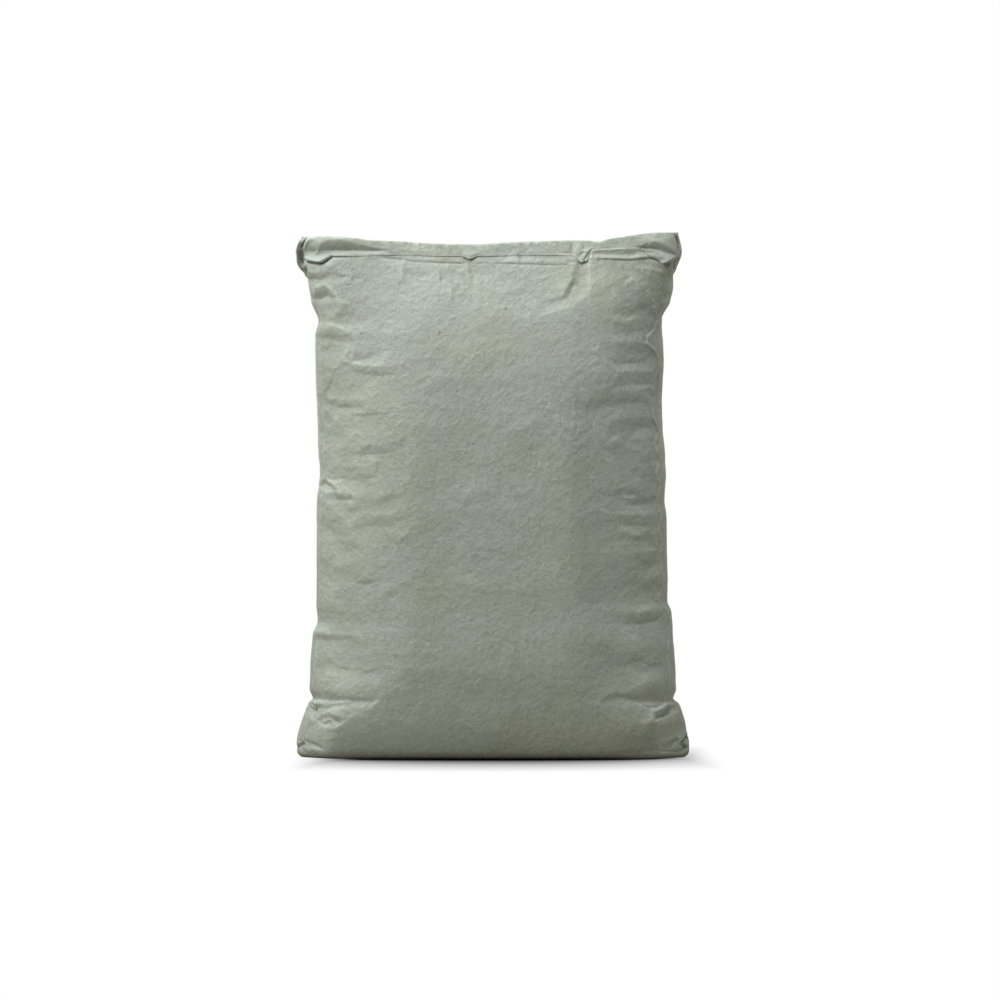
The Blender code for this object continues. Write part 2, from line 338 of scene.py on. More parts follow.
# Dents: how high the steep flank over each dent's sharp lower line is, and that line
DENTS = (
    # right shoulder, under the ear
    (22, ((126.9, 454.7, -0.2), (141.6, 461, -0.4), (157.3, 468.3, -0.7),
          (172, 475.7, -0.7), (182.5, 479.9, -0.5))),
    (14, ((131.1, 443.1, -0.3), (145.8, 445.2, -0.5), (162.6, 448.4, -0.5), (173.1, 452.6, -0.4))),
    (24, ((118.5, 416.9, -0.5), (133.2, 411.6, -1.1), (154.2, 413.7, -1.2), (169.9, 419, -0.8))),
    (15, ((133.2, 389.6, -0.4), (150, 391.1, -0.7), (166.8, 390.6, -0.6))),
    (18, ((87, 364.4, -0.4), (99.6, 361.2, -1.0), (114.3, 367.5, -1.0))),
    (14, ((116.4, 370.7, -0.6), (133.2, 369.6, -0.8), (154.2, 372.2, -0.6), (166.8, 374.9, -0.3))),
    (14, ((124.8, 336, -0.2), (134.2, 341.2, -0.5), (148.9, 343.4, -0.6), (160.5, 344.4, -0.4))),
    (12, ((159.4, 348.6, -0.4), (167.8, 343.4, -1), (175.2, 340.2, -0.7))),
    # right side, half way up
    (9, ((120.5, 321.5, -0.4), (129, 322.5, -0.8), (136.5, 327.5, -0.3))),
    (12, ((154, 310, -0.3), (163.5, 308.5, -0.8), (171, 311, -0.7))),
    (10, ((120.5, 274, -0.4), (133, 274, -0.9), (146, 276, -0.4))),
    (9, ((138.5, 263.5, -0.3), (149, 264, -0.8), (158.5, 265.5, -0.8), (168, 268, -0.4))),
    (12, ((125, 243.5, -0.2), (141.5, 243.5, -0.7), (154, 243, -0.7), (170, 242.5, -0.4))),
    (5, ((144.5, 229, -0.3), (150, 228.5, -0.8), (155, 229, -0.3))),
    (16, ((152, 201.5, -0.3), (162.5, 199.5, -0.7), (170, 201.5, -0.5))),
    (14, ((154, 175.5, -0.3), (162.5, 174.5, -0.6), (171, 176.5, -0.5))),
    (9, ((135.5, 180.5, -0.2), (146, 181.5, -0.5), (153, 184, -0.2))),
    (13, ((127, 138.5, -0.2), (133, 141, -0.6), (143.5, 140.5, -1.2),
          (156.5, 140.5, -1.7), (169, 143.5, -1.8), (177.5, 148.5, -1.1))),
    (5, ((146, 102, -0.1), (151, 102, -0.3), (156.5, 103, -0.1))),
    # right, above the corner of the block bottom
    (26, ((130, 66, -0.6), (142.5, 63, -1.4), (154, 59.5, -1.8),
          (163, 55.5, -2.1), (174, 56, -2.0), (181, 62, -1.0))),
    (9, ((115.5, 61.5, -0.3), (125, 62, -0.7), (135.5, 61, -0.3))),
    (7, ((172, 43.5, -1.6), (178.5, 45.5, -2.6), (184.5, 49, -3), (189, 52.5, -1.8))),
    (20, ((150, 19, -0.3), (166, 18.5, -0.9), (178, 20, -1.1), (186, 26, -0.5))),
    (5, ((178.5, 8.5, -0.3), (188, 13.5, -1), (196, 19.5, -0.7))),
    (4, ((200.5, 9.5, -1), (203, 12.5, -1.4), (199.5, 17, -1.2), (205.5, 22, -0.8))),
    # left shoulder, under the ear
    (12, ((-194, 482.5, -1.8), (-182, 481, -3.2), (-173.5, 484, -2.2))),
    (10, ((-160, 463, -0.2), (-152, 462, -0.5), (-143, 465, -0.4))),
    (13, ((-188, 441, -1.3), (-173.5, 439.5, -2.0), (-160, 436, -1.4), (-150, 433, -0.4))),
    (14, ((-152, 417, -0.7), (-143, 415, -1.1), (-131, 417, -0.6))),
    (4, ((-158.5, 411.5, -0.2), (-153.5, 411.5, -0.5), (-148, 412.5, -0.2))),
    (10, ((-147, 404, -0.5), (-134.5, 400.5, -1.3), (-119, 399.5, -1.4), (-102, 401, -0.5))),
    (4, ((-167, 402, -0.3), (-172.5, 389.5, -0.8), (-182, 377, -0.6))),
    (9, ((-183, 368.5, -0.6), (-168, 367, -1.2), (-155.5, 367.5, -0.7), (-139, 365.5, -0.6))),
    (3, ((-145, 358, -0.2), (-131.5, 358.5, -0.5), (-116.5, 359, -0.2))),
    # left side, half way up
    (11, ((-146, 318, -0.4), (-131.5, 317.5, -1.1), (-113.5, 317.5, -0.9), (-95.5, 323.5, -0.4))),
    (14, ((-170.5, 291, -0.5), (-155.5, 292, -1.1), (-140, 290, -0.7), (-123, 294, -0.2))),
    (5, ((-185, 283.5, -1.2), (-179.5, 288, -1.5), (-171.5, 283.5, -1.1), (-165, 277, -0.6))),
    (7, ((-177.5, 271, -0.4), (-163, 270, -1.3), (-148, 270.5, -0.6))),
    (8, ((-126, 264.5, -0.2), (-115.5, 265.5, -0.6), (-104, 270, -0.6), (-89.5, 272, -0.2))),
    (9, ((-150.5, 258.5, -0.2), (-141, 258.5, -0.7), (-131.5, 259.5, -0.2))),
    (13, ((-133.5, 242.5, -0.3), (-119, 242.5, -0.8), (-101, 243.5, -0.4))),
    (9, ((-102, 224.5, -0.3), (-94.5, 224.5, -0.8), (-87.5, 227, -0.3))),
    (5, ((-140, 182.5, -0.2), (-129.5, 183, -0.8), (-119, 186, -0.3))),
    (11, ((-112.5, 159.5, -0.2), (-102, 169, -0.6), (-89.5, 178.5, -0.3))),
    # left, above the corner of the block bottom
    (7, ((-188, 124, -0.8), (-176.5, 124, -1.6), (-168, 124, -0.9), (-150.5, 124, -0.3))),
    (4, ((-173.5, 105, -0.2), (-162, 94.5, -0.7), (-150.5, 91.5, -0.6), (-140, 92.5, -0.3))),
    (5, ((-140, 85, -0.2), (-127, 90.5, -0.7), (-112.5, 96.5, -0.3))),
    (5, ((-166, 60, -0.2), (-153.5, 62, -0.5), (-137.5, 60.5, -0.6), (-125, 59, -0.2))),
    (4, ((-175.5, 52.5, -0.4), (-166, 56, -0.8), (-154.5, 57, -0.4))),
    (5, ((-181, 41, -0.4), (-172.5, 44, -0.8), (-164, 41, -1.5), (-160, 38, -0.5))),
    (3, ((-179.5, 37, -0.2), (-174.5, 38, -0.8), (-170.5, 41, -0.2))),
    (5, ((-192.5, 54.5, -1.2), (-188, 50.5, -2.4), (-184.5, 53.5, -1.6))),
    (3, ((-198.5, 18, -0.3), (-189, 15, -0.8), (-179.5, 10.5, -0.3))),
    (4, ((-205, 10.5, -1), (-199.5, 13.5, -1.6))),
    # under the lip
    (3, ((-93, 514.5, -0.3), (-92, 508, -0.9), (-92.5, 502, -0.3))),
    (3, ((-55, 508, -0.2), (-54, 502, -0.7), (-52.5, 494.5, -0.2))),
    (4, ((-22, 515.5, -0.3), (-21, 506, -1.1), (-20, 496.5, -0.3))),
    (3, ((-41, 494.5, -0.2), (-41, 486, -0.6), (-41, 479, -0.2))),
    (3, ((-146, 508, -0.2), (-146, 502, -0.6), (-145, 495.5, -0.2))),
    (5, ((87, 503, -0.5), (83, 493.5, -1.6), (78.5, 482, -0.8))),
    (3, ((30.5, 534.5, -0.2), (29, 524, -0.6), (28, 513.5, -0.2))),
)

# Sharp lines that stand out
RIDGES = (
    # right shoulder
    ((113.2, 508.2, 0.4), (101.7, 490.4, 0.8), (87, 474.6, 0.5)),
    ((147.9, 506.1, 0.2), (132.1, 487.2, 0.4), (116.4, 469.4, 0.2)),
    ((156.3, 512.4, 0.8), (164.7, 512.4, 1.2), (175.2, 508.2, 1.4), (183.6, 501.9, 1)),
    ((164.5, 439, 0.5), (172, 428.5, 0.9), (178.5, 416, 0.8)),
    # right, above the corner of the block bottom
    ((110, 61, 0.4), (119.5, 68, 0.6), (128, 74.5, 0.4)),
    ((128, 96, 0.2), (146, 99, 0.3), (166, 96, 0.2)),
    ((170, 40.5, 0.6), (178.5, 42, 0.9), (186.5, 45, 1.1), (195, 48.5, 0.8)),
    ((179.5, 6.5, 0.3), (189, 8.5, 1.1), (200.5, 18, 1)),
    ((195, 6.5, 0.6), (199.5, 11, 1.3)),
    ((202.5, 4, 0.6), (205, 12.5, 1), (205.5, 17, 0.6)),
    # left shoulder
    ((-192.5, 499, 0.8), (-176, 495, 1.6), (-163, 482, 1.3), (-156.5, 475, 1.0), (-164, 465, 0.4)),
    ((-187, 460, 0.6), (-176.5, 458.5, 0.6), (-166, 456, 0.2), (-154, 449.5, 0.0)),
    # left, above the corner of the block bottom
    ((-179.5, 142, 0.2), (-169, 133.5, 0.5), (-148, 130, 0.4), (-137, 137, 0.2)),
    ((-97, 92.5, 0.1), (-110.5, 75.5, 0.4), (-122, 59, 0.9), (-134.5, 50.5, 1.0), (-147, 43.5, 1.2),
     (-157.5, 37, 1.0), (-164, 33, 1.2), (-175.5, 32.5, 1.0), (-186, 38, 0.8), (-193.5, 46, 0.5)),
    ((-174.5, 49.5, 0.5), (-164, 51.5, 0.9), (-148, 52.5, 0.7), (-133.5, 55.5, 0.8)),
    ((-191.5, 32.5, 0.3), (-185, 22, 0.8), (-179.5, 17, 0.4)),
    ((-171.5, 31.5, 0.5), (-165, 19, 0.4), (-160, 8.5, 0.2)),
    ((-195.5, 11.5, 0.5), (-184, 10, 1.2), (-173.5, 7.5, 0.6)),
    ((-199.5, 47, 0.5), (-194.5, 42, 0.9), (-184, 38, 0.7)),
    # left side
    ((-161, 255, 0.3), (-150.5, 247, 0.6), (-148, 236, 0.3)),
    ((-177.5, 176.5, 0.2), (-171.5, 165, 0.5), (-155.5, 159.5, 0.3)),
)

# Broad soft swells and hollows: distance across, height, how far they reach along and up, rise
SWELLS = (
    (185, 400, 54, 85, -7.4),
    (130, 468, 26, 24, 1.8),
    (150, 446, 30, 16, 0.9),
    (116, 405, 32, 28, 2.9),
    (160, 378, 20, 18, 1.0),
    (-172, 503, 45, 13, 1.2),
    (132, 503, 50, 13, 2.4),
    (-180, 345, 42, 85, -6.0),
    (-165, 458, 32, 24, 1.6),
    (-125, 250, 42, 130, 2.0),
    (-60, 210, 40, 100, -1.6),
    (142, 118, 45, 31, 3.6),
    (108, 130, 26, 18, 1.5),
    (-110, 92, 45, 22, 1.0),
    (-160, 84, 34, 16, 0.9),
    (178, 15, 40, 40, -6.0),
    (-170, 25, 34, 34, -2.0),
)

MOUTH_FOLDS = (
    # left end of the strip
    ((-199, 544.4, 0.5), (-199.2, 535.5, 0.6), (-199.3, 526.1, 0.5)),
    ((-196.5, 542.3, 0.7), (-189.2, 542.9, 0.7), (-182.3, 543.4, 0.5)),
    ((-196.5, 537, -1.2), (-195, 531.5, -2.2), (-190.2, 530, -2.4), (-185.8, 530.2, -1.3)),
    ((-185, 530, 0.4), (-182.9, 534.5, 1.3), (-180.8, 538.6, 1.3), (-180.1, 542.3, 0.8)),
    ((-179.2, 531.3, -1), (-171.3, 531.6, -1.3), (-156.6, 532, -1.3),
     (-148.2, 531.5, -1.2), (-127.2, 531.4, -1), (-112.5, 531.6, 0)),
    ((-176.6, 543.7, 1), (-166.1, 543, 1.7), (-154.5, 541.3, 1.9),
     (-139.8, 538.2, 1.7), (-127.2, 535.2, 1.2), (-114.6, 533, 0.5)),
    ((-198.1, 526.5, -0.9), (-190.2, 526.3, -1), (-181.3, 526.7, -0.9), (-169.2, 529, -0.5)),
    ((-199.1, 524.5, 0.5), (-194.9, 522.5, 0.9), (-188.1, 520.8, 0.9),
     (-181.8, 519.5, 1), (-175.5, 522.4, 0.9), (-168.2, 526.6, 0.5)),
    ((-166.1, 528.4, 0.3), (-148.2, 529, 0.5), (-127.2, 529.2, 0.5), (-113.6, 529, 0.3)),
    ((-117.8, 524, -0.4), (-103.1, 523.4, -0.8), (-87.3, 524.2, -0.3)),
    # the ear at the left
    ((-200.9, 543.4, -1.2), (-201.1, 536.6, -2.4)),
    ((-206.2, 532.6, 1.2), (-203.3, 533.4, 1.2), (-200.1, 534.1, 0.4)),
    ((-204.5, 525, -1), (-202.3, 529.2, -2.6), (-200.7, 521.3, -3), (-201.1, 517.6, -2)),
    ((-205.3, 529.2, 0.6), (-205.1, 520.8, 0.8), (-203.2, 516, 0.8)),
    ((-201.2, 513.9, 1), (-196.5, 516.4, 1.5), (-191.3, 517.4, 0.8)),
    ((-199.4, 511.1, -1.8), (-195.7, 508.8, -2.6), (-194.4, 512, -2)),
    ((-193.8, 514.1, 0.4), (-191.3, 512.8, 1.2), (-190.8, 508.2, 0.6)),
    # middle of the strip
    ((-95.7, 531.3, 0.2), (-60, 530.2, 0.4), (-34.8, 530.2, 0.2)),
    ((-30.6, 525, 0.3), (-26.9, 526.6, 0.9), (-23.8, 523.4, 0.4)),
    ((-70.5, 536.6, 0.2), (-40.1, 535, 0.4), (10.3, 536, 0.2)),
    ((19.8, 531.3, -0.1), (59.7, 530.8, -0.3), (78.6, 531.3, -0.1)),
    # the knot
    ((84, 531.5, 0.4), (88, 530, 1.0), (92, 532.5, 0.6)),
    ((94.5, 529.5, 0.1), (98, 528.5, 0.9)),
    ((86.5, 536, 0.6), (85.5, 541, 0.3)),
    ((82.3, 538.6, -0.4), (82.3, 532.4, -0.9), (84.2, 527.8, -0.8)),
    ((87, 528.7, 0.8), (87.5, 522.9, 1.2), (89.1, 518.7, 0.9)),
    ((89.6, 539.2, 0.5), (90.7, 533.4, 1.4), (94.3, 531, 1.6), (100.1, 532.4, 1.2)),
    ((94.8, 538.1, -0.5), (94.8, 533, -0.9)),
    ((88.6, 525.8, -0.1), (91.7, 526.1, 0.2)),
    ((89.1, 521.9, 0.3), (92.2, 522.3, 0.6)),
    ((94.3, 527.6, 1.2), (95.9, 524.6, 1.2), (92.8, 520.3, 0.9)),
    ((102.1, 531.1, -0.6), (99.9, 527.5, -0.8), (97.9, 524.6, -0.7), (95.6, 520.6, -0.6)),
    ((103.3, 526.6, 0.6), (101.2, 522.9, 1.4), (98.5, 519.3, 1.1)),
    # right of the knot: the edge of the strip, the hollow under it and the lip of the ply below
    ((104.8, 534.2, 0.4), (120.6, 534.2, 0.5), (133.2, 533, 0.8), (145.8, 533.2, 0.7)),
    ((105, 531.8, 0.4), (125, 532, 0.5), (148, 532.4, 0.4)),
    ((104.8, 527, -0.8), (120.6, 526.9, -1.2), (143.7, 526.3, -1.3), (151, 527.3, -0.8)),
    ((109, 524.2, 0.2), (124.8, 523.6, 0.4), (145.8, 522.9, 0.5), (156.3, 525.3, 0.7), (162.6, 524.9, 0.8)),
    # right end of the strip
    ((124.8, 539.7, 0.2), (141.6, 540.2, 0.5), (150, 540.8, 0.3)),
    ((152.1, 535.5, 0.2), (157.9, 538.4, 1.2), (164.7, 541.6, 2.3), (173.1, 540.5, 2.4),
     (181.5, 537.2, 2.2), (186.7, 533.4, 1.5), (190.4, 529.8, 1)),
    ((166.2, 540.8, 2.3), (166.8, 537.6, 1.2), (167.4, 534.7, -0.6)),
    ((153.7, 533.7, -0.6), (159.4, 533.9, -1.5), (173.1, 532.5, -1.8),
     (182, 529.4, -1.9), (190.4, 527.1, -1)),
    ((152.1, 532.4, 0.0), (169.4, 531.3, 0.0), (179.9, 528.3, 0.1), (185.7, 526.1, 0.1)),
    ((152.4, 530.7, -0.3), (165.7, 528.8, -0.5), (175.2, 527.3, -0.2)),
    ((151.7, 525.8, 0.5), (167.4, 527.1, 0.5), (179.9, 525.4, 0.6), (186.7, 524.4, 0.6), (192, 525.5, 0.5)),
    ((162.6, 521.4, 0.6), (168.9, 520.8, 0.8), (175.2, 518.7, 1.2),
     (180.4, 517.6, 1.7), (185.7, 520.4, 1.4), (191.5, 523.6, 0.8)),
    ((169.7, 523.3, -0.8), (176.2, 521.2, -1)),
    ((182.1, 513.5, 1.2), (184.6, 516, 3), (187, 513, 1.4)),
    ((160.5, 517.6, 0.3), (172, 515.2, 0.6), (182.5, 511.4, 0.4)),
    # the ear at the right
    ((192, 549.7, 0.6), (192, 535, 0.6)),
    ((195.8, 542.9, 0.8), (196.8, 536, 2), (196.7, 528.1, 2), (195.6, 524, 1.2)),
    ((189.4, 518.1, -0.4), (192.5, 518.5, -0.7)),
)
# Sharp dark grooves where the paper is tucked in: distance across, height, depth
GROOVES = (
    # at the left end of the strip
    ((-198.6, 522.5, 1), (-193.4, 520.2, 1.3), (-190.2, 518.9, 2.2), (-185, 518.2, 1.4),
     (-180.8, 518.1, 2.2), (-174.5, 521, 3.4), (-168.7, 525, 2.2)),
    ((-166.1, 524.8, 0.7), (-156.6, 524.6, 0.7), (-151.4, 524.6, 0.2)),
    ((-198, 526.2, 0.5), (-190.2, 525.9, 0.6), (-181.3, 526.4, 0.5)),
    ((-178.7, 531.4, 0.3), (-156.6, 531.8, 0.6), (-127.2, 531.1, 0.6), (-114.6, 531.4, 0.3)),
    ((-200.3, 544.3, 1.4), (-200.4, 539.7, 2.4), (-200.9, 535.1, 2.4)),
    ((-202.8, 529.6, 2.6), (-203.1, 525, 3.2), (-202.6, 520.3, 3)),
    ((-200.1, 531.7, 2.6), (-199.9, 526.1, 3.2), (-200.5, 520.8, 3.2), (-200.1, 517, 2)),
    ((-201.5, 540.2, 1.4), (-202.2, 535.5, 2.2)),
    ((-197.6, 507.6, 2.6), (-194.4, 505.5, 2.6)),
    ((-199.2, 512, 2.6), (-196.9, 509.7, 3.4), (-194.4, 506.7, 3)),
    ((-195, 512.8, 2), (-194.2, 509.2, 2.6)),
    ((193.7, 550.2, 1.6), (193.9, 543.9, 2.8), (193.7, 536.6, 2.8), (193, 530.2, 2.2), (192.6, 527.1, 1.6)),
    ((195.1, 546, 1.6), (195.1, 539.7, 1.8)),
    ((185.5, 518.5, 1.8), (188.4, 520.4, 2.2), (192, 522.7, 2.8), (195.4, 520.8, 2.2)),
    ((188.7, 517.2, 1.4), (188.3, 513.9, 1.8)),
    # of the plies below the strip
    ((-115.6, 523.4, 0.4), (-103, 522.4, 1.0), (-88, 521.4, 0.7)),
    ((-101, 520.4, 0.3), (-82.1, 519.8, 0.6), (-59, 518.7, 0.4)),
    ((-59, 518.4, 0.5), (-43.2, 518, 0.6), (-30.6, 517.6, 0.4)),
    ((-17, 518.2, 0.5), (-5.4, 518.2, 0.3)),
    ((4, 517.8, 0.4), (28.2, 517.2, 0.7), (54.4, 516.6, 0.6), (76.5, 516.1, 0.4)),
    ((76.5, 519.8, 0.3), (85.9, 519.1, 0.5)),
    ((118.5, 521.6, 0.3), (131.1, 521.2, 0.9), (145.8, 521.1, 1.3), (154.2, 521.9, 0.8), (163, 522.9, 0.8)),
    # at the knot
    ((101.9, 530.9, 0.2), (100, 527.7, 0.4), (97.8, 524.4, 0.2), (95.4, 520.4, 0.3)),
    ((82, 538, 0.4), (82.6, 530, 0.9)),
    # at the right end of the strip
    ((152.1, 534.6, 0.7), (159.4, 534.5, 1), (172, 533, 0.9), (180.4, 530.2, 1.1), (187.8, 528.1, 0.8)),
    ((153.1, 531.1, 0.4), (159.4, 530, 0.8), (165.7, 528.7, 0.4)),
    ((169.1, 523.1, 0.8), (173.1, 521.3, 1.5), (176.8, 520, 1.6)),
    ((177.7, 519.1, 1.2), (179.6, 517.4, 2.4), (181.1, 516.2, 2.8), (183, 517.9, 1.8)),
    # at the right corner of the block bottom
    ((183.8, 57.6, 1.8), (185.2, 54, 2.8), (185.6, 50.5, 1.8)),
    ((173, 44.6, 1.2), (178.3, 46, 1.2), (184.6, 48.6, 1.0)),
    ((205.6, 23, 1.2), (202.5, 18.9, 2.2), (198.3, 13.7, 2.6),
     (203.3, 10.5, 3.0), (200.4, 7.4, 2.4), (192, 3.2, 1.8)),
    ((180, 9.5, 0.4), (188, 14.5, 0.7), (196, 19.5, 0.6)),
    ((165, 2.5, 0.5), (177, 3.9, 1.4), (184.6, 4.9, 1.6), (195, 5.8, 0.9)),
    ((157.3, 56.1, 0.2), (166.8, 55.7, 0.5), (175, 57.1, 0.3)),
    # at the left corner of the block bottom
    ((-189.8, 57.3, 1.4), (-186.3, 54, 2.6), (-186.8, 49.1, 2.2)),
    ((-205.5, 10.9, 1.8), (-199.8, 14.6, 2.4), (-201.8, 18, 1.2)),
    ((-200.3, 10.1, 1.4), (-200.1, 6.9, 1.2)),
    ((-198.8, 7.4, 1.4), (-192.3, 3.8, 1.4)),
    ((-190.2, 7.4, 1.0), (-182.9, 3.6, 1.2)),
    ((-198.6, 18.4, 0.3), (-189, 15.5, 0.6), (-179.5, 10.5, 0.2)),
    ((-164, 41, 0.4), (-161, 39, 0.8)),
    # at the puckers of the side edges
    ((-185.5, 284, 0.4), (-179.7, 288.2, 0.7), (-171.3, 283.7, 0.3)),
    ((154, 141.5, 0.2), (168, 143.5, 0.5), (176.5, 149, 0.4)),
    ((178.9, 461.5, 0.6), (171, 457.8, 0.5)),
)
# Ridges of the side edges, where the tube was pressed flat at the mill: distance across, height, rise
LEFT_CREASE = (
    (-196, 505, 0.4), (-187, 484, 0.8), (-181, 462, 0.6), (-182.5, 445, 1.0), (-183.5, 410, 0.8),
    (-182.3, 372, 1.0), (-182.8, 335, 0.8), (-180.5, 297, 0.4), (-182.6, 255, 0.9), (-183, 210, 1.0),
    (-181.5, 170, 0.7), (-181, 143, 0.3), (-185, 105, 1.0), (-188, 78, 0.7), (-188, 64, 0.2),
)
RIGHT_CREASE = (
    (162.6, 488, 0.6), (171, 470.4, 1.4), (175.2, 460, 1.6), (171, 447.3, 1.7), (163.6, 442, 1.7),
    (162.6, 433.7, 1.7), (170, 428.4, 1.7), (177.3, 420, 1.6), (178.4, 407.4, 1.2), (170.1, 392.4, 1.0),
    (171.4, 372.8, 0.9), (170.1, 356.2, 1.1), (177.7, 342.3, 1.3), (170, 327.6, 0.9), (177.3, 312.9, 1.0),
    (172, 298, 0.8), (175.5, 284, 0.9), (171, 268, 0.7), (176, 252, 0.9), (173.5, 238, 0.8),
    (177.5, 224, 0.9), (173.4, 207.9, 0.8), (177.2, 192.9, 0.9), (178.3, 180.6, 0.8), (171, 166, 0.6),
    (181.5, 154.4, 1.0), (185, 142.8, 1.0), (184.4, 133.4, 1.0), (182.2, 112.9, 0.9), (183.6, 92.9, 1.0),
    (184.5, 76, 1.1), (179.8, 61, 1.0), (173.4, 50, 0.5),
)
# The edge of the second ply below the strip: distance across, height, and the size of the step there
PLY_EDGE = (
    (-110, 520.6, 0.0), (-101, 520.4, 0.4), (-60, 519.0, 0.4), (-33, 518.4, 0.4), (-30, 518.2, 0.0),
    (-18, 518.0, 0.0), (-16, 518.0, 0.35), (-6, 518.0, 0.3), (-3, 518, 0.0), (3, 517.8, 0.4),
    (40, 517.2, 0.4), (74, 516.2, 0.4), (80, 516.6, 0.0), (106, 520.8, 0.0), (110, 522.8, 0.9),
    (147, 521.5, 1.0), (158, 522.6, 0.9), (165, 525.0, 0.0),
)
# Creases in the middle of the back
BACK_DENTS = (
    (6, ((75, 300, -0.3), (55, 262, -1.0), (48, 230, -0.3))),
    (6, ((-20, 190, -0.3), (-48, 180, -0.9), (-80, 186, -0.3))),
    (8, ((10, 470, -0.4), (14, 440, -1.2), (6, 415, -0.4))),
    (9, ((-60, 500, -0.4), (-66, 470, -1.4), (-60, 448, -0.4))),
    (8, ((70, 505, -0.4), (64, 478, -1.2), (72, 455, -0.4))),
)
BACK_RIDGES = (
    ((60, 380, 0.3), (30, 372, 1.0), (-5, 376, 0.3)),
    ((-30, 330, 0.3), (-62, 310, 1.1), (-84, 300, 0.4)),
    ((85, 140, 0.4), (50, 122, 1.1), (22, 118, 0.4)),
    ((-110, 60, 0.4), (-90, 84, 1.0), (-66, 104, 0.4)),
    ((112, 58, 0.4), (92, 80, 1.0), (70, 98, 0.4)),
)

# The maps of relief: a value each half millimetre, all round the tube and from below the floor upwards
CELL = 0.5
MAP_LOW, MAP_HIGH = -20, 580
MAP_SHAPE = (int((MAP_HIGH - MAP_LOW) / CELL), int(AROUND / CELL))
NET_WELD = 1e-5  # points of a net closer together than this are one
ON_FOLD = 0.01  # a point lies on every fold that is no further off than the nearest by more than this
SLACK = 1e-6  # how far outside a facet, as a share of it, a point may lie and still belong to it
TINY = 1e-9  # what counts as nothing in a division
random = np.random.default_rng(7)


def paper_place(x, z):
    """How far along the paper, from the middle of the front, a point of the front seen at x, z lies."""
    row = int(np.clip(np.searchsorted(heights[:wall_rows, COLUMNS // 2], z), BOTTOM_ROWS, wall_rows - 1))
    return float(np.interp(x, points[row, :COLUMNS + 1, 0], across))


def facet_map(folds, loose, clear, stretch):
    """A map of relief made of flat facets between folds and loose points.

    folds are lines of (along, up, rise), and loose is an array of the same, of which those closer to a
    point of a fold than clear are left out. The facets are the triangles of a Delaunay net that keeps
    each stretch of a fold as an edge. stretch is how many times longer than high its triangles are.
    """
    spots = np.array([spot for fold in folds for spot in fold]).reshape(-1, 3)
    starts = np.cumsum([0] + [len(fold) for fold in folds])
    pairs = [(i, i + 1) for first, end in zip(starts[:-1], starts[1:]) for i in range(first, end - 1)]
    if len(spots):
        near = np.hypot(loose[:, None, 0] - spots[None, :, 0], loose[:, None, 1] - spots[None, :, 1]).min(1)
        loose = loose[near > clear]
    spots = np.concatenate([spots, loose])
    flat = [Vector((spot[0] / stretch, spot[1])) for spot in spots]
    verts, _, faces, origins, _, _ = delaunay_2d_cdt(flat, pairs, [], 0, NET_WELD, True)
    verts = np.array([(vert[0] * stretch, vert[1]) for vert in verts])
    rises = np.array([spots[origin[0], 2] if origin else np.nan for origin in origins])
    # a point where two folds cross has no rise of its own, so it takes theirs
    a, b = (spots[[pair[end] for pair in pairs]] for end in (0, 1))
    run = b[:, :2] - a[:, :2]
    for i in np.flatnonzero(np.isnan(rises)):
        u = np.clip(((verts[i] - a[:, :2]) * run).sum(1) / (run**2).sum(1), 0, 1)
        off = np.hypot(*(a[:, :2] + u[:, None] * run - verts[i]).T)
        on = off < off.min() + ON_FOLD
        rises[i] = (a[:, 2] + u * (b[:, 2] - a[:, 2]))[on].mean()
    relief = np.zeros(MAP_SHAPE)
    grid = np.column_stack([(verts[:, 0] + AROUND / 2) / CELL, (verts[:, 1] - MAP_LOW) / CELL])
    for face in faces:
        (ax, ay), (bx, by), (cx, cy) = grid[face]
        left, right = max(int(np.ceil(min(ax, bx, cx))), 0), min(int(max(ax, bx, cx)) + 1, relief.shape[1])
        low, high = max(int(np.ceil(min(ay, by, cy))), 0), min(int(max(ay, by, cy)) + 1, relief.shape[0])
        whole = (bx - ax) * (cy - ay) - (cx - ax) * (by - ay)
        if left >= right or low >= high or abs(whole) < TINY:
            continue
        px, py = np.arange(left, right)[None], np.arange(low, high)[:, None]
        v = ((px - ax) * (cy - ay) - (cx - ax) * (py - ay)) / whole
        w = ((bx - ax) * (py - ay) - (px - ax) * (by - ay)) / whole
        inside = (v > -SLACK) & (w > -SLACK) & (v + w < 1 + SLACK)
        a, b, c = rises[face]
        relief[low:high, left:right][inside] = (a + v * (b - a) + w * (c - a))[inside]
    return relief


LIT_SIDE = (-0.35, 0.94)  # the side of a dent that its steep flank is on: along the paper and up it
FLANK_RISE = (0.1, -0.62)  # rise of a flank's upper edge: of itself, and as a share of the dent's own


def flank(height, dent):
    """The upper edge of a dent's steep flank: the dent's own line, moved up by height and made proud."""
    dent = np.array(dent)
    run = np.gradient(dent[:, :2], axis=0)
    side = np.column_stack([-run[:, 1], run[:, 0]]) / np.hypot(*run.T)[:, None]
    side *= np.sign(side.mean(0) @ LIT_SIDE)
    moved = dent[:, :2] + side * height
    return [(a, b, FLANK_RISE[0] + FLANK_RISE[1] * c) for (a, b), c in zip(moved, dent[:, 2])]


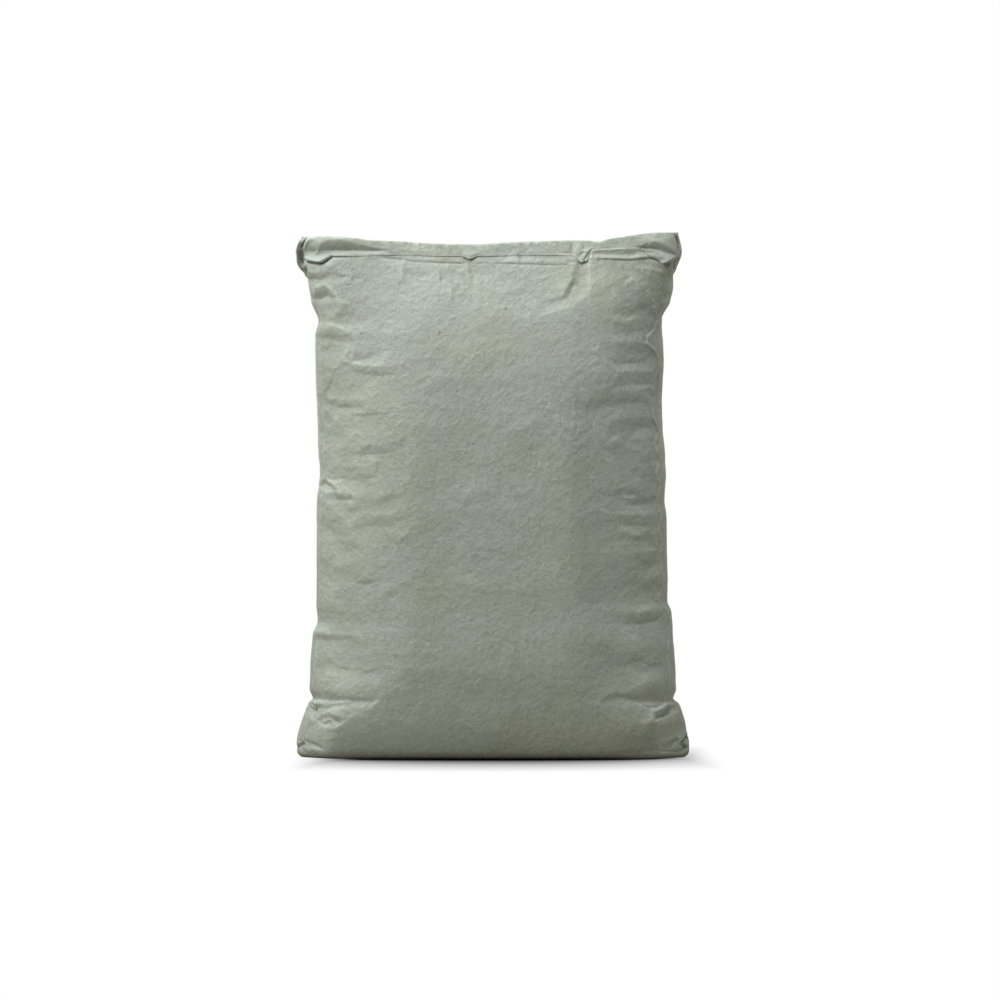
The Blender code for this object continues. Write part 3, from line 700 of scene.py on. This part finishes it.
def crease_map(folds, width, widening=0.0):
    """A map of thin creases along the folds: rise * (1 - distance / reach) from each.

    reach is width, and widening times the rise more.
    """
    relief = np.zeros(MAP_SHAPE)
    for fold in folds:
        fold = np.array(fold)
        most = width + widening * np.abs(fold[:, 2]).max()
        low = fold[:, :2].min(0) - most
        size = np.ceil((fold[:, :2].max(0) + most - low) / CELL).astype(int)
        first = np.round((low - (-AROUND / 2, MAP_LOW)) / CELL).astype(int)
        j = np.arange(first[0], first[0] + size[0])
        i = np.arange(max(first[1], 0), min(first[1] + size[1], relief.shape[0]))
        at = np.stack(np.meshgrid(j * CELL - AROUND / 2, i * CELL + MAP_LOW), axis=-1)
        bend = np.zeros(at.shape[:2])
        for start, end in zip(fold[:-1], fold[1:]):
            run = end[:2] - start[:2]
            u = np.clip(((at - start[:2]) @ run) / (run @ run), 0, 1)
            away = np.linalg.norm(at - start[:2] - u[..., None] * run, axis=-1)
            rise = start[2] + u * (end[2] - start[2])
            one = np.clip(1 - away / (width + widening * np.abs(rise)), 0, 1) * rise
            bend = np.where(np.abs(one) > np.abs(bend), one, bend)
        relief[np.ix_(i, j % relief.shape[1])] += bend
    return relief


def soften(relief, radius):
    """A map blurred by a bell curve of a radius in millimetres."""
    up = np.fft.fftfreq(relief.shape[0], CELL)[:, None]
    along = np.fft.rfftfreq(relief.shape[1], CELL)[None]
    bell = np.exp(-2 * (np.pi * radius) ** 2 * (up**2 + along**2))
    return np.fft.irfft2(np.fft.rfft2(relief) * bell, relief.shape)


FINE_BLUR, BROAD_BLUR = 0.35, 0.8  # radii of the two blurs that make lumps, as shares of their size


def lumps(size):
    """A map of random soft lumps of a size in millimetres: a fine blur less a broad one, spread made 1."""
    grain = random.standard_normal(MAP_SHAPE)
    made = soften(grain, size * FINE_BLUR) - soften(grain, size * BROAD_BLUR)
    return made / made.std()


JITTER = 0.45  # how far a loose point may be off its place, as a share of the spacing
OVERLAP = 3  # how many spacings of the net are repeated past its ends, where the tube closes


def scattered(spacing, stretch, rise):
    """Loose points all over the paper, spacing apart and stretch times that along it, with random rises."""
    along, up = np.meshgrid(
        np.arange(-AROUND / 2, AROUND / 2, spacing * stretch), np.arange(MAP_LOW, MAP_HIGH, spacing))
    along = along + random.uniform(-JITTER, JITTER, along.shape) * spacing * stretch
    up = up + random.uniform(-JITTER, JITTER, up.shape) * spacing
    loose = np.column_stack([along.ravel(), up.ravel(), random.normal(0, 1, along.size)])
    loose[:, 2] *= rise(loose[:, 0], loose[:, 1])
    wrapped = [loose]
    for turn in (-AROUND, AROUND):
        moved = loose + [turn, 0, 0]
        wrapped.append(moved[np.abs(moved[:, 0]) < AROUND / 2 + OVERLAP * spacing * stretch])
    return np.concatenate(wrapped)


def sampled(relief, along, up):
    """The values of a map at places along the paper and up it, blended between its points."""
    column = (along + AROUND / 2) / CELL % relief.shape[1]
    row = np.clip((up - MAP_LOW) / CELL, 0, relief.shape[0] - 2)
    i, j = np.floor(row).astype(int), np.floor(column).astype(int)
    u, v = row - i, column - j
    j, k = j % relief.shape[1], (j + 1) % relief.shape[1]
    return ((relief[i, j] * (1 - v) + relief[i, k] * v) * (1 - u)
            + (relief[i + 1, j] * (1 - v) + relief[i + 1, k] * v) * u)


def from_edge(along):
    """How far a place along the paper is from the nearer side edge."""
    return np.abs((np.abs(along) + AROUND / 2) % (AROUND / 2) - AROUND / 4)


# How strongly the paper is crumpled
CALM, SIDES, SHOULDERS = 0.2, 0.5, 0.3  # on the broad faces, more by the side edges, share of that above
SIDE_REACH = (15, 95)  # distances from the side edge between which it goes over from one to the other
SHOULDER_UP = (470, 505, 522)  # heights where the shoulders start, are most crumpled, and end
FOOT_UP = (8, 40)  # heights over which the crumpling sets in above the floor


def crumple(along, up):
    """The share of a loose point's random rise that it keeps: calm + sides * how near a side or shoulder."""
    near_side = 1 - smooth_step(*SIDE_REACH, from_edge(along))
    shoulder = smooth_step(*SHOULDER_UP[:2], up) * (1 - smooth_step(*SHOULDER_UP[1:], up))
    return (CALM + SIDES * np.maximum(near_side, SHOULDERS * shoulder)) * smooth_step(*FOOT_UP, up)


def finely(along, up):
    """The same for the finer net."""
    return FINE_RISE * crumple(along, up)


def on_paper(line):
    """A line of the front, with its distances across made into places along the paper."""
    return [(paper_place(a, b), b, c) for a, b, c in line]


def behind(line, shift=(0, 0), grow=1):
    """A line of the front mirrored to the back, moved a little, and with its rises grown."""
    return [(AROUND / 2 - paper_place(a, b) + shift[0], b + shift[1], c * grow) for a, b, c in line]


# Which folds of the front have their like on the back, and how those differ
BACK_FROM, BACK_BELOW = 95, 512  # they start further out than this, and lower than this
BACK_SHIFT = (5, 4)  # they are moved by up to this along and up
BACK_GROWTH = (0.7, 1.2)  # and made this much weaker or stronger
EDGE_SHIFT = (0, 4)  # the ridges of the side edges lie this much further on there


def repeated_behind(lines):
    """Those of the lines that the back has too, mirrored, with a random shift and growth each."""
    for height, line in lines:
        if abs(line[0][0]) > BACK_FROM and line[0][1] < BACK_BELOW:
            yield height, behind(line, random.uniform(-1, 1, 2) * BACK_SHIFT, random.uniform(*BACK_GROWTH))


def with_rises(folds, least, share, inwards=0.0):
    """The folds moved inwards along the paper, with rises of least + share * their own."""
    return [[(a - inwards * np.sign(a), b, least + share * c) for a, b, c in fold] for fold in folds]


def swell(across, height, wide, high, rise):
    """A map of one broad swell: rise * exp(-(along / wide) ** 2 - (up / high) ** 2) from its middle."""
    apart = (np.arange(MAP_SHAPE[1]) * CELL - AROUND / 2 - paper_place(across, height)) / wide
    above = (np.arange(MAP_SHAPE[0]) * CELL + MAP_LOW - height) / high
    return rise * np.exp(-above[:, None] ** 2 - apart**2)


dents = [(height, on_paper(line)) for height, line in DENTS]
dents += [(height, behind(line)) for height, line in BACK_DENTS]
dents += repeated_behind(DENTS)
ridges = [on_paper(line) for line in RIDGES] + [behind(line) for line in BACK_RIDGES]
ridges += [line for _, line in repeated_behind([(0, line) for line in RIDGES])]
edges = [on_paper(line) for line in (LEFT_CREASE, RIGHT_CREASE)]
edges += [behind(line, EDGE_SHIFT) for line in (LEFT_CREASE, RIGHT_CREASE)]
mouth = [on_paper(line) for line in MOUTH_FOLDS]
grooves = [on_paper(line) for line in GROOVES]
folds = [line for _, line in dents] + ridges
flanks = [flank(height, line) for height, line in dents]

NET, NET_STRETCH, NET_CLEAR = 20, 1.3, 13  # loose points: spacing, stretch along, distance from the folds
FINE_NET, FINE_STRETCH = 9.5, 1.6  # the same of a finer net that lies over it
FINE_RISE = 0.45  # how high that is beside the other
NET_ROUND, FINE_ROUND = 0.7, 0.3  # radii that round their edges
FOLD_RISE, FOLD_WIDE = 0.1, 2.2  # thin crease along each fold: share of its rise, reach
LUMPS = ((45, 0.25), (6, 0.035))  # lumps of the fill under the paper: size, rise
PRESSED = (0.15, 0.5)  # rise of the ridge of a side edge: least, share of its line's
PRESSED_WIDE = 2.4  # its reach
BESIDE = (0.1, 0.15, 4.5)  # depth of the hollow beside it: the same, and how far in it lies
BESIDE_WIDE, BESIDE_ROUND = 4.0, 0.4  # its reach, and the radius that rounds it
TUCK_WIDE, TUCK_WIDENING, TUCK_ROUND = 1.1, 0.5, 0.25  # grooves: reach, more of it by depth, rounding

net = facet_map(folds + flanks + mouth, scattered(NET, NET_STRETCH, crumple), NET_CLEAR, NET_STRETCH)
fine_net = facet_map([], scattered(FINE_NET, FINE_STRETCH, finely), 0, FINE_STRETCH)
relief = soften(net, NET_ROUND)
relief += soften(crease_map(with_rises(folds, 0, FOLD_RISE), FOLD_WIDE), FINE_ROUND)
relief += soften(fine_net, FINE_ROUND)
for row in SWELLS:
    relief += swell(*row)
for size, rise in LUMPS:
    relief += rise * lumps(size)
pressed = soften(crease_map(with_rises(edges, *PRESSED), PRESSED_WIDE), FINE_ROUND)
pressed -= soften(crease_map(with_rises(edges, *BESIDE), BESIDE_WIDE), BESIDE_ROUND)
tucks = soften(crease_map(grooves, TUCK_WIDE, TUCK_WIDENING), TUCK_ROUND)

# Each point moves along its normal by the relief, which is calmer on the side edges and ends at the floor
EDGE_SHARE, EDGE_REACH = 0.35, 12  # what a side edge keeps of it, and how far in it is all there
FLOOR_REACH = 6  # the relief sets in over this height above the floor
PLY_SHARP, PLY_FADE = 0.5, (3, 8)  # the step of the second ply: half its width, heights over which it ends
PLY_MARGIN = 5  # it stops this far from the side edges
STRAIGHT_ROWS = 6  # rows under the lip, and all above it, move straight forwards or backwards

rises = sampled(relief, places, heights)
rises *= EDGE_SHARE + (1 - EDGE_SHARE) * smooth_step(0, EDGE_REACH, from_edge(places))
rises += sampled(pressed - tucks, places, heights)
rises *= smooth_step(0, FLOOR_REACH, heights)
over_ply = heights - straight_line(PLY_EDGE, points[..., 0])
ply_step = straight_line(PLY_EDGE, points[..., 0], 2) * (np.abs(places) < AROUND / 4 - PLY_MARGIN)
rises += ply_step * smooth_step(-PLY_SHARP, PLY_SHARP, over_ply) * (1 - smooth_step(*PLY_FADE, over_ply))

along = np.roll(points, -1, 1) - np.roll(points, 1, 1)
normals = np.cross(along, np.gradient(points, axis=0))
normals /= np.linalg.norm(normals, axis=-1, keepdims=True) + TINY
straight_out = np.stack([0 * heights, np.sign(points[..., 1]), 0 * heights], axis=-1)
normals[wall_rows - STRAIGHT_ROWS:] = straight_out[wall_rows - STRAIGHT_ROWS:]
points += normals * rises[..., None]

# The left ear curls forwards at its edge, and the ends of the strip lean forwards
ABOVE = (560, 570)  # heights over the fold of the mouth: what ends there goes on to the top
FORWARDS = (
    # how far, distances across and heights over which it sets in, heights over which it ends
    (10.0, (-200.2, -206.8), (510, 520), (541, 548)),
    (4.6, (-90, -170), (527, 544), ABOVE),
    (2.4, (80, 130), (526, 549), ABOVE),
)

for far, sideways, upwards, ending in FORWARDS:
    there = smooth_step(*sideways, points[..., 0]) * smooth_step(*upwards, heights)
    points[..., 1] -= far * there * (1 - smooth_step(*ending, heights))

# Front and back meet in the fold of the mouth
TOP_FORWARDS = 1.0  # the fold lies this far in front of the middle between them
top = points[-1]
middle = (top[1:COLUMNS] + top[-1:COLUMNS:-1]) / 2
middle[:, 1] -= TOP_FORWARDS
top[1:COLUMNS] = middle
top[-1:COLUMNS:-1] = middle

# The patch that covers the folded bottom stands on the floor, and the paper round it is a little higher
PATCH = (150.0, 36.0)  # half its width and depth
PATCH_THICK, PATCH_EDGE = 0.6, 0.6  # how thick it is, and half the width of its step
CORNER_FROM, CORNER_SLANT = 190, 0.75  # the line of the corner flaps: where it crosses the middle, its slant
CORNER_THICK, CORNER_EDGE = 0.25, 0.5  # how much lower the paper is outside it, and half that step

off_x, off_y = np.abs(points[..., 0]), np.abs(points[..., 1])
covered = (smooth_step(-PATCH_EDGE, PATCH_EDGE, PATCH[0] - off_x)
           * smooth_step(-PATCH_EDGE, PATCH_EDGE, PATCH[1] - off_y))
corner = smooth_step(-CORNER_EDGE, CORNER_EDGE, off_y + CORNER_SLANT * (off_x - CORNER_FROM))
under = (PATCH_THICK - CORNER_THICK * corner) * (1 - covered)
points[:BOTTOM_ROWS + 1, :, 2] = under[:BOTTOM_ROWS + 1]

# How far each point lies above or below the paper round it, for the colour: ridges get a painted highlight
# and valleys painted shade. The pressed side edges get a painted highlight too, and the foot painted shade.
NEAR, NEAR_RISE = 3.0, 0.45  # radius of the paper round it, and the rise that counts as 1
FAR, FAR_RISE = 10.0, 1.6  # the same again, wider
CREASE_RANGE = (-3, 1)  # what lies deeper or higher than this counts as this
EDGE_HIGHLIGHT = 1.7  # what a side edge with painted highlight counts as
EDGE_HIGHLIGHT_WIDE = (7, 13)  # how wide the painted highlight is on the left and on the right
EDGE_HIGHLIGHT_FULL = 0.3  # share of that width which has the full painted highlight
EDGE_HIGHLIGHT_UP = ((58, 68), (495, 510))  # heights over which the highlighted strip sets in and ends
BARE_UP = (2, 6)  # heights over which the creases set in
FOOT_SHADE_UP = (1, 10)  # heights over which the painted shade of the foot ends

relief += pressed - tucks
lift = (relief - soften(relief, NEAR)) / NEAR_RISE + (relief - soften(relief, FAR)) / FAR_RISE
creases = np.clip(sampled(lift, places, heights), *CREASE_RANGE) * smooth_step(*BARE_UP, heights)
# Painted highlight along the pressed side edges, over the middle of their height
highlight_wide = np.where(points[..., 0] < 0, *EDGE_HIGHLIGHT_WIDE)
wear_and_painted_highlight = EDGE_HIGHLIGHT * (1 - smooth_step(EDGE_HIGHLIGHT_FULL, 1.0, from_edge(places) / highlight_wide))
wear_and_painted_highlight *= smooth_step(*EDGE_HIGHLIGHT_UP[0], heights) * (1 - smooth_step(*EDGE_HIGHLIGHT_UP[1], heights))
# The side edges take their painted highlight, and the foot is darkened as painted contact shade.
creases = np.maximum(creases, wear_and_painted_highlight) - (1.0 - smooth_step(*FOOT_SHADE_UP, heights))


WELD = 1e-6  # in metres


def paper_mesh(name, points, creases):
    """A closed mesh through the rows of points, with its first and last rows each welded into one line.

    creases is kept as a value of each point.
    """
    rows, columns = points.shape[:2]
    index = np.arange(rows * columns).reshape(rows, columns)
    low, high = index[:-1], index[1:]
    quads = np.stack([low, np.roll(low, -1, 1), np.roll(high, -1, 1), high], axis=-1).reshape(-1, 4)
    mesh = bpy.data.meshes.new(name)
    mesh.from_pydata((points.reshape(-1, 3) * MM).tolist(), [], quads.tolist())
    kept = mesh.attributes.new("crease", "FLOAT", "POINT")
    kept.data.foreach_set("value", creases.ravel().astype(np.float32))
    bm = bmesh.new()
    bm.from_mesh(mesh)
    bmesh.ops.remove_doubles(bm, verts=bm.verts, dist=WELD)
    bmesh.ops.recalc_face_normals(bm, faces=bm.faces)
    bm.to_mesh(mesh)
    bm.free()
    return mesh


MOST_TRIANGLES = 192000
mesh = paper_mesh("paper_sack_shell", points, creases)
sack = bpy.data.objects.new("paper_sack_shell", mesh)
bpy.context.scene.collection.objects.link(sack)
lighter = sack.modifiers.new("lighter", "DECIMATE")
lighter.ratio = MOST_TRIANGLES / (2 * len(mesh.polygons))
bpy.context.view_layer.update()
mesh = bpy.data.meshes.new_from_object(sack.evaluated_get(bpy.context.evaluated_depsgraph_get()))
mesh.name = "paper_sack_shell"
sack.modifiers.clear()
sack.data = mesh
mesh.shade_smooth()
mesh.materials.clear()

# Sack kraft: strong, long-fibred paper, dyed grey-green in the pulp, pressed but not glazed. It looks matt
# with a weak broad sheen, faintly mottled and fibrous, with random olive patches. Painted highlight makes it
# paler on ridges and side edges, and painted shade makes it olive and darker in the valleys and deep tucks
# and darker at the foot.
# OLIVE is the tint of the random patches and of the painted shade in the valleys
GREY_GREEN, OLIVE = "9FA69D", "9CA08C"
SHEEN = 0.45  # specular level
LUMPS_PER_SCALE = 0.5  # a noise of scale 1 has lumps of half a metre
PATTERNS = {
    # size of the lumps in millimetres, detail, kind of noise
    "tint": (45, 2, "FBM"),
    "mottle": (5, 5, "FBM"),
    "fibre": (1.2, 2, "FBM"),
    "fleck": (1.6, 1, "FBM"),
    "wear": (30, 2, "FBM"),
    "grain": (2.6, 2, "FBM"),
    "wrinkle": (3.5, 3, "RIDGED_MULTIFRACTAL"),
}
RANGES = {
    # pattern, its values that count, what they become, curve between them
    "olive_patches": ("tint", (0.45, 0.72), (0.0, 0.35), "SMOOTHSTEP"),
    # painted shade: the valleys turn olive
    "painted_olive_valley_shade": ("crease", (0.0, -1.0), (0.0, 0.8), "LINEAR"),
    "mottling": ("mottle", (0.25, 0.75), (0.95, 1.05), "LINEAR"),
    "fibres": ("fibre", (0.25, 0.75), (0.90, 1.10), "LINEAR"),
    # painted shade in the valleys and painted highlight on the ridges
    "painted_crease_shade_and_highlight": ("crease", (-1.0, 1.7), (0.84, 1.272), "LINEAR"),
    "flecks": ("fleck", (0.70, 0.78), (1.0, 0.80), "LINEAR"),
    # painted shade, near black, in the deep tucks
    "painted_tuck_shade": ("crease", (-1.0, -2.6), (1.0, 0.3), "LINEAR"),
    "roughness": ("mottle", (0.3, 0.7), (0.52, 0.68), "LINEAR"),
    # wear that scales the bumps; it shares its name with the painted highlight of the side edges
    "wear_and_painted_highlight": ("wear", (0.35, 0.65), (0.8, 1.0), "SMOOTHSTEP"),
}
SHADES = ("mottling", "fibres", "painted_crease_shade_and_highlight", "flecks", "painted_tuck_shade")  # the colour is multiplied by these
CRACKLE = 7.5  # size of the flat flakes between fine wrinkles
CRACKLE_BEND, CRACKLE_BEND_SIZE = 4.0, 10 / 3  # how far noise bends their edges, and its lumps
BUMPS = {"wrinkle": 0.22, "crackle": 0.38, "grain": 0.56}  # heights in millimetres where the paper is worn
FIBRE_BUMP = 0.24


def linear(colour):
    """A colour written as sRGB hex digits, as linear red, green, blue and an alpha of 1."""
    shares = [int(colour[i:i + 2], 16) / 255 for i in (0, 2, 4)]
    return (*[c / 12.92 if c < 0.04045 else ((c + 0.055) / 1.055) ** 2.4 for c in shares], 1)


def add_node(tree, kind, output, inputs=(), **settings):
    """Adds a node of a kind with its settings, and gives back one of its outputs.

    inputs pairs each input with the value it is set to or the output it is linked to.
    """
    node = tree.nodes.new("ShaderNode" + kind)
    for name, value in settings.items():
        setattr(node, name, value)
    for name, value in dict(inputs).items():
        if isinstance(value, bpy.types.NodeSocket):
            tree.links.new(value, node.inputs[name])
        else:
            node.inputs[name].default_value = value
    return node.outputs[output]


paper = bpy.data.materials.new("kraft_paper")
paper.use_nodes = True
tree = paper.node_tree
shader = tree.nodes["Principled BSDF"]
at = add_node(tree, "TexCoord", "Object")
look = {"crease": add_node(tree, "Attribute", "Fac", attribute_name="crease")}
for name, (size, detail, kind) in PATTERNS.items():
    look[name] = add_node(tree, "TexNoise", "Fac", {
        "Vector": at, "Scale": LUMPS_PER_SCALE / (size * MM), "Detail": detail}, noise_type=kind)
for name, (pattern, (low, high), (to_low, to_high), curve) in RANGES.items():
    look[name] = add_node(tree, "MapRange", "Result", {
        "Value": look[pattern], "From Min": low, "From Max": high, "To Min": to_low, "To Max": to_high,
    }, interpolation_type=curve)
# olive from the random patches and from the painted shade in the valleys
olive = add_node(
    tree, "Math", "Value", {0: look["olive_patches"], 1: look["painted_olive_valley_shade"]}, operation="MAXIMUM")
tone = add_node(
    tree, "Mix", "Result", {"Factor": olive, "A": linear(GREY_GREEN), "B": linear(OLIVE)}, data_type="RGBA")
shaded = 1.0
for name in SHADES:
    shaded = add_node(tree, "Math", "Value", {0: shaded, 1: look[name]}, operation="MULTIPLY")
colour = add_node(tree, "VectorMath", "Vector", {0: tone, "Scale": shaded}, operation="SCALE")
tree.links.new(colour, shader.inputs["Base Color"])
tree.links.new(look["roughness"], shader.inputs["Roughness"])
shader.inputs["Specular IOR Level"].default_value = SHEEN

bent = add_node(tree, "TexNoise", "Color", {
    "Vector": at, "Scale": LUMPS_PER_SCALE / (CRACKLE_BEND_SIZE * MM), "Detail": 1.0})
moved = add_node(tree, "VectorMath", "Vector", {0: bent, "Scale": CRACKLE_BEND * MM}, operation="SCALE")
there = add_node(tree, "VectorMath", "Vector", {0: at, 1: moved}, operation="ADD")
look["crackle"] = add_node(
    tree, "TexVoronoi", "Distance",
    {"Vector": there, "Scale": 1 / (CRACKLE * MM), "Detail": 2.0, "Roughness": 0.5},
    feature="F1", normalize=False)
height = 0.0
for name, rise in BUMPS.items():
    height = add_node(
        tree, "Math", "Value", {0: look[name], 1: rise * MM, 2: height}, operation="MULTIPLY_ADD")
height = add_node(tree, "Math", "Value", {0: height, 1: look["wear_and_painted_highlight"]}, operation="MULTIPLY")
height = add_node(
    tree, "Math", "Value", {0: look["fibre"], 1: FIBRE_BUMP * MM, 2: height}, operation="MULTIPLY_ADD")
bump = add_node(tree, "Bump", "Normal", {"Height": height, "Distance": 1.0, "Strength": 1.0})
tree.links.new(bump, shader.inputs["Normal"])
mesh.materials.append(paper)
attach(sack, "root")
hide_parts("paper_sack")

# The studio
# A white sweep that the camera sees as plain white, with a soft shadow close under the sack. The sack
# itself is lit by a pale sky, the floor's warm bounce and three softboxes.

FLOOR_HALF = 1.5  # in metres, as all of the studio
FLOOR_COLOUR = "9A968E"
SHADOW_REACH = 0.26  # how far off the sack still shades the floor
SHADOW_SAMPLES = 32
SHADOW_RANGE = (0.52, 0.97)  # how much of the sky is open where the shadow is black, and where it ends
SHADOW_MIDDLE = 0.014  # distance across
SHADOW_ENDS = (0.15, 0.225)  # distances from there over which it fades out at its sides
SKY_COLOUR = (1.0, 0.91, 0.75, 1)
SKY_STRENGTH = 0.13
WHITE = (1, 1, 1, 1)
SOFTBOXES = (
    # name, place, what it is turned to, size, power, colour
    ("overhead", (-0.55, -0.3, 2.0), (0, 0, 0.2), (2.0, 2.0), 68, (0.95, 0.99, 1.0)),
    ("edge", (1.9, 0.35, 0.8), (0, 0, 0.3), (1.0, 1.2), 9, (1.0, 0.96, 0.92)),
    ("key", (-1.5, -1.1, 1.5), (0, 0, 0.4), (1.0, 1.0), 16, (1.0, 0.98, 0.94)),
)
MM_PER_PIXEL = 1.05  # the picture's scale
PICTURE = 1000  # its width in pixels
PICTURE_MIDDLE = (7.2, 270.2)  # where its middle is: distance across and height, in millimetres
CAMERA_AWAY = 5000.0  # millimetres

corners = [(-1, -1, 0), (1, -1, 0), (1, 1, 0), (-1, 1, 0)]
floor_mesh = bpy.data.meshes.new("floor")
floor_mesh.from_pydata((np.array(corners) * FLOOR_HALF).tolist(), [], [(0, 1, 2, 3)])
floor = bpy.data.objects.new("floor", floor_mesh)
bpy.context.scene.collection.objects.link(floor)
white = bpy.data.materials.new("pale_floor")
white.use_nodes = True
tree = white.node_tree
card = tree.nodes["Principled BSDF"]
card.inputs["Base Color"].default_value = linear(FLOOR_COLOUR)
card.inputs["Roughness"].default_value = 1.0
open_sky = add_node(tree, "AmbientOcclusion", "AO", {"Distance": SHADOW_REACH}, samples=SHADOW_SAMPLES)
open_sky = add_node(tree, "MapRange", "Result", {
    "Value": open_sky, "From Min": SHADOW_RANGE[0], "From Max": SHADOW_RANGE[1]})
sideways = add_node(tree, "SeparateXYZ", "X", {"Vector": add_node(tree, "TexCoord", "Object")})
sideways = add_node(tree, "Math", "Value", {0: sideways, 1: SHADOW_MIDDLE}, operation="SUBTRACT")
sideways = add_node(tree, "Math", "Value", {0: sideways}, operation="ABSOLUTE")
beside = add_node(tree, "MapRange", "Result", {
    "Value": sideways, "From Min": SHADOW_ENDS[0], "From Max": SHADOW_ENDS[1],
}, interpolation_type="SMOOTHSTEP")
open_floor = add_node(tree, "Math", "Value", {0: open_sky, 1: beside}, operation="MAXIMUM")
glow = add_node(tree, "Emission", "Emission", {"Color": open_floor})
seen = add_node(tree, "LightPath", "Is Camera Ray")
both = add_node(tree, "MixShader", "Shader", {"Fac": seen, 1: card.outputs["BSDF"], 2: glow})
tree.links.new(both, tree.nodes["Material Output"].inputs["Surface"])
floor_mesh.materials.append(white)
floor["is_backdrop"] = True

world = bpy.data.worlds.new("studio")
bpy.context.scene.world = world
world.use_nodes = True
tree = world.node_tree
seen = add_node(tree, "LightPath", "Is Camera Ray")
sky = add_node(tree, "Mix", "Result", {"Factor": seen, "A": SKY_COLOUR, "B": WHITE}, data_type="RGBA")
strength = add_node(tree, "MapRange", "Result", {"Value": seen, "To Min": SKY_STRENGTH, "To Max": 1.0})
tree.links.new(sky, tree.nodes["Background"].inputs["Color"])
tree.links.new(strength, tree.nodes["Background"].inputs["Strength"])


def softbox(name, place, aim, size, power, colour):
    """A rectangular light of a size, at a place and turned towards its aim."""
    light = bpy.data.lights.new(name, "AREA")
    light.color = colour
    light.shape = "RECTANGLE"
    light.size, light.size_y = size
    light.energy = power
    lamp = bpy.data.objects.new(name, light)
    lamp.location = place
    lamp.rotation_euler = (Vector(aim) - Vector(place)).to_track_quat("-Z", "Y").to_euler()
    bpy.context.scene.collection.objects.link(lamp)


for light in SOFTBOXES:
    softbox(*light)

camera = bpy.data.objects.new("camera", bpy.data.cameras.new("camera"))
camera.data.lens = camera.data.sensor_width * CAMERA_AWAY / (PICTURE * MM_PER_PIXEL)
camera.location = (PICTURE_MIDDLE[0] * MM, -CAMERA_AWAY * MM, PICTURE_MIDDLE[1] * MM)
camera.rotation_euler = (np.pi / 2, 0, 0)
bpy.context.scene.collection.objects.link(camera)
bpy.context.scene.camera = camera
bpy.context.scene.view_settings.view_transform = "Standard"

low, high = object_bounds()
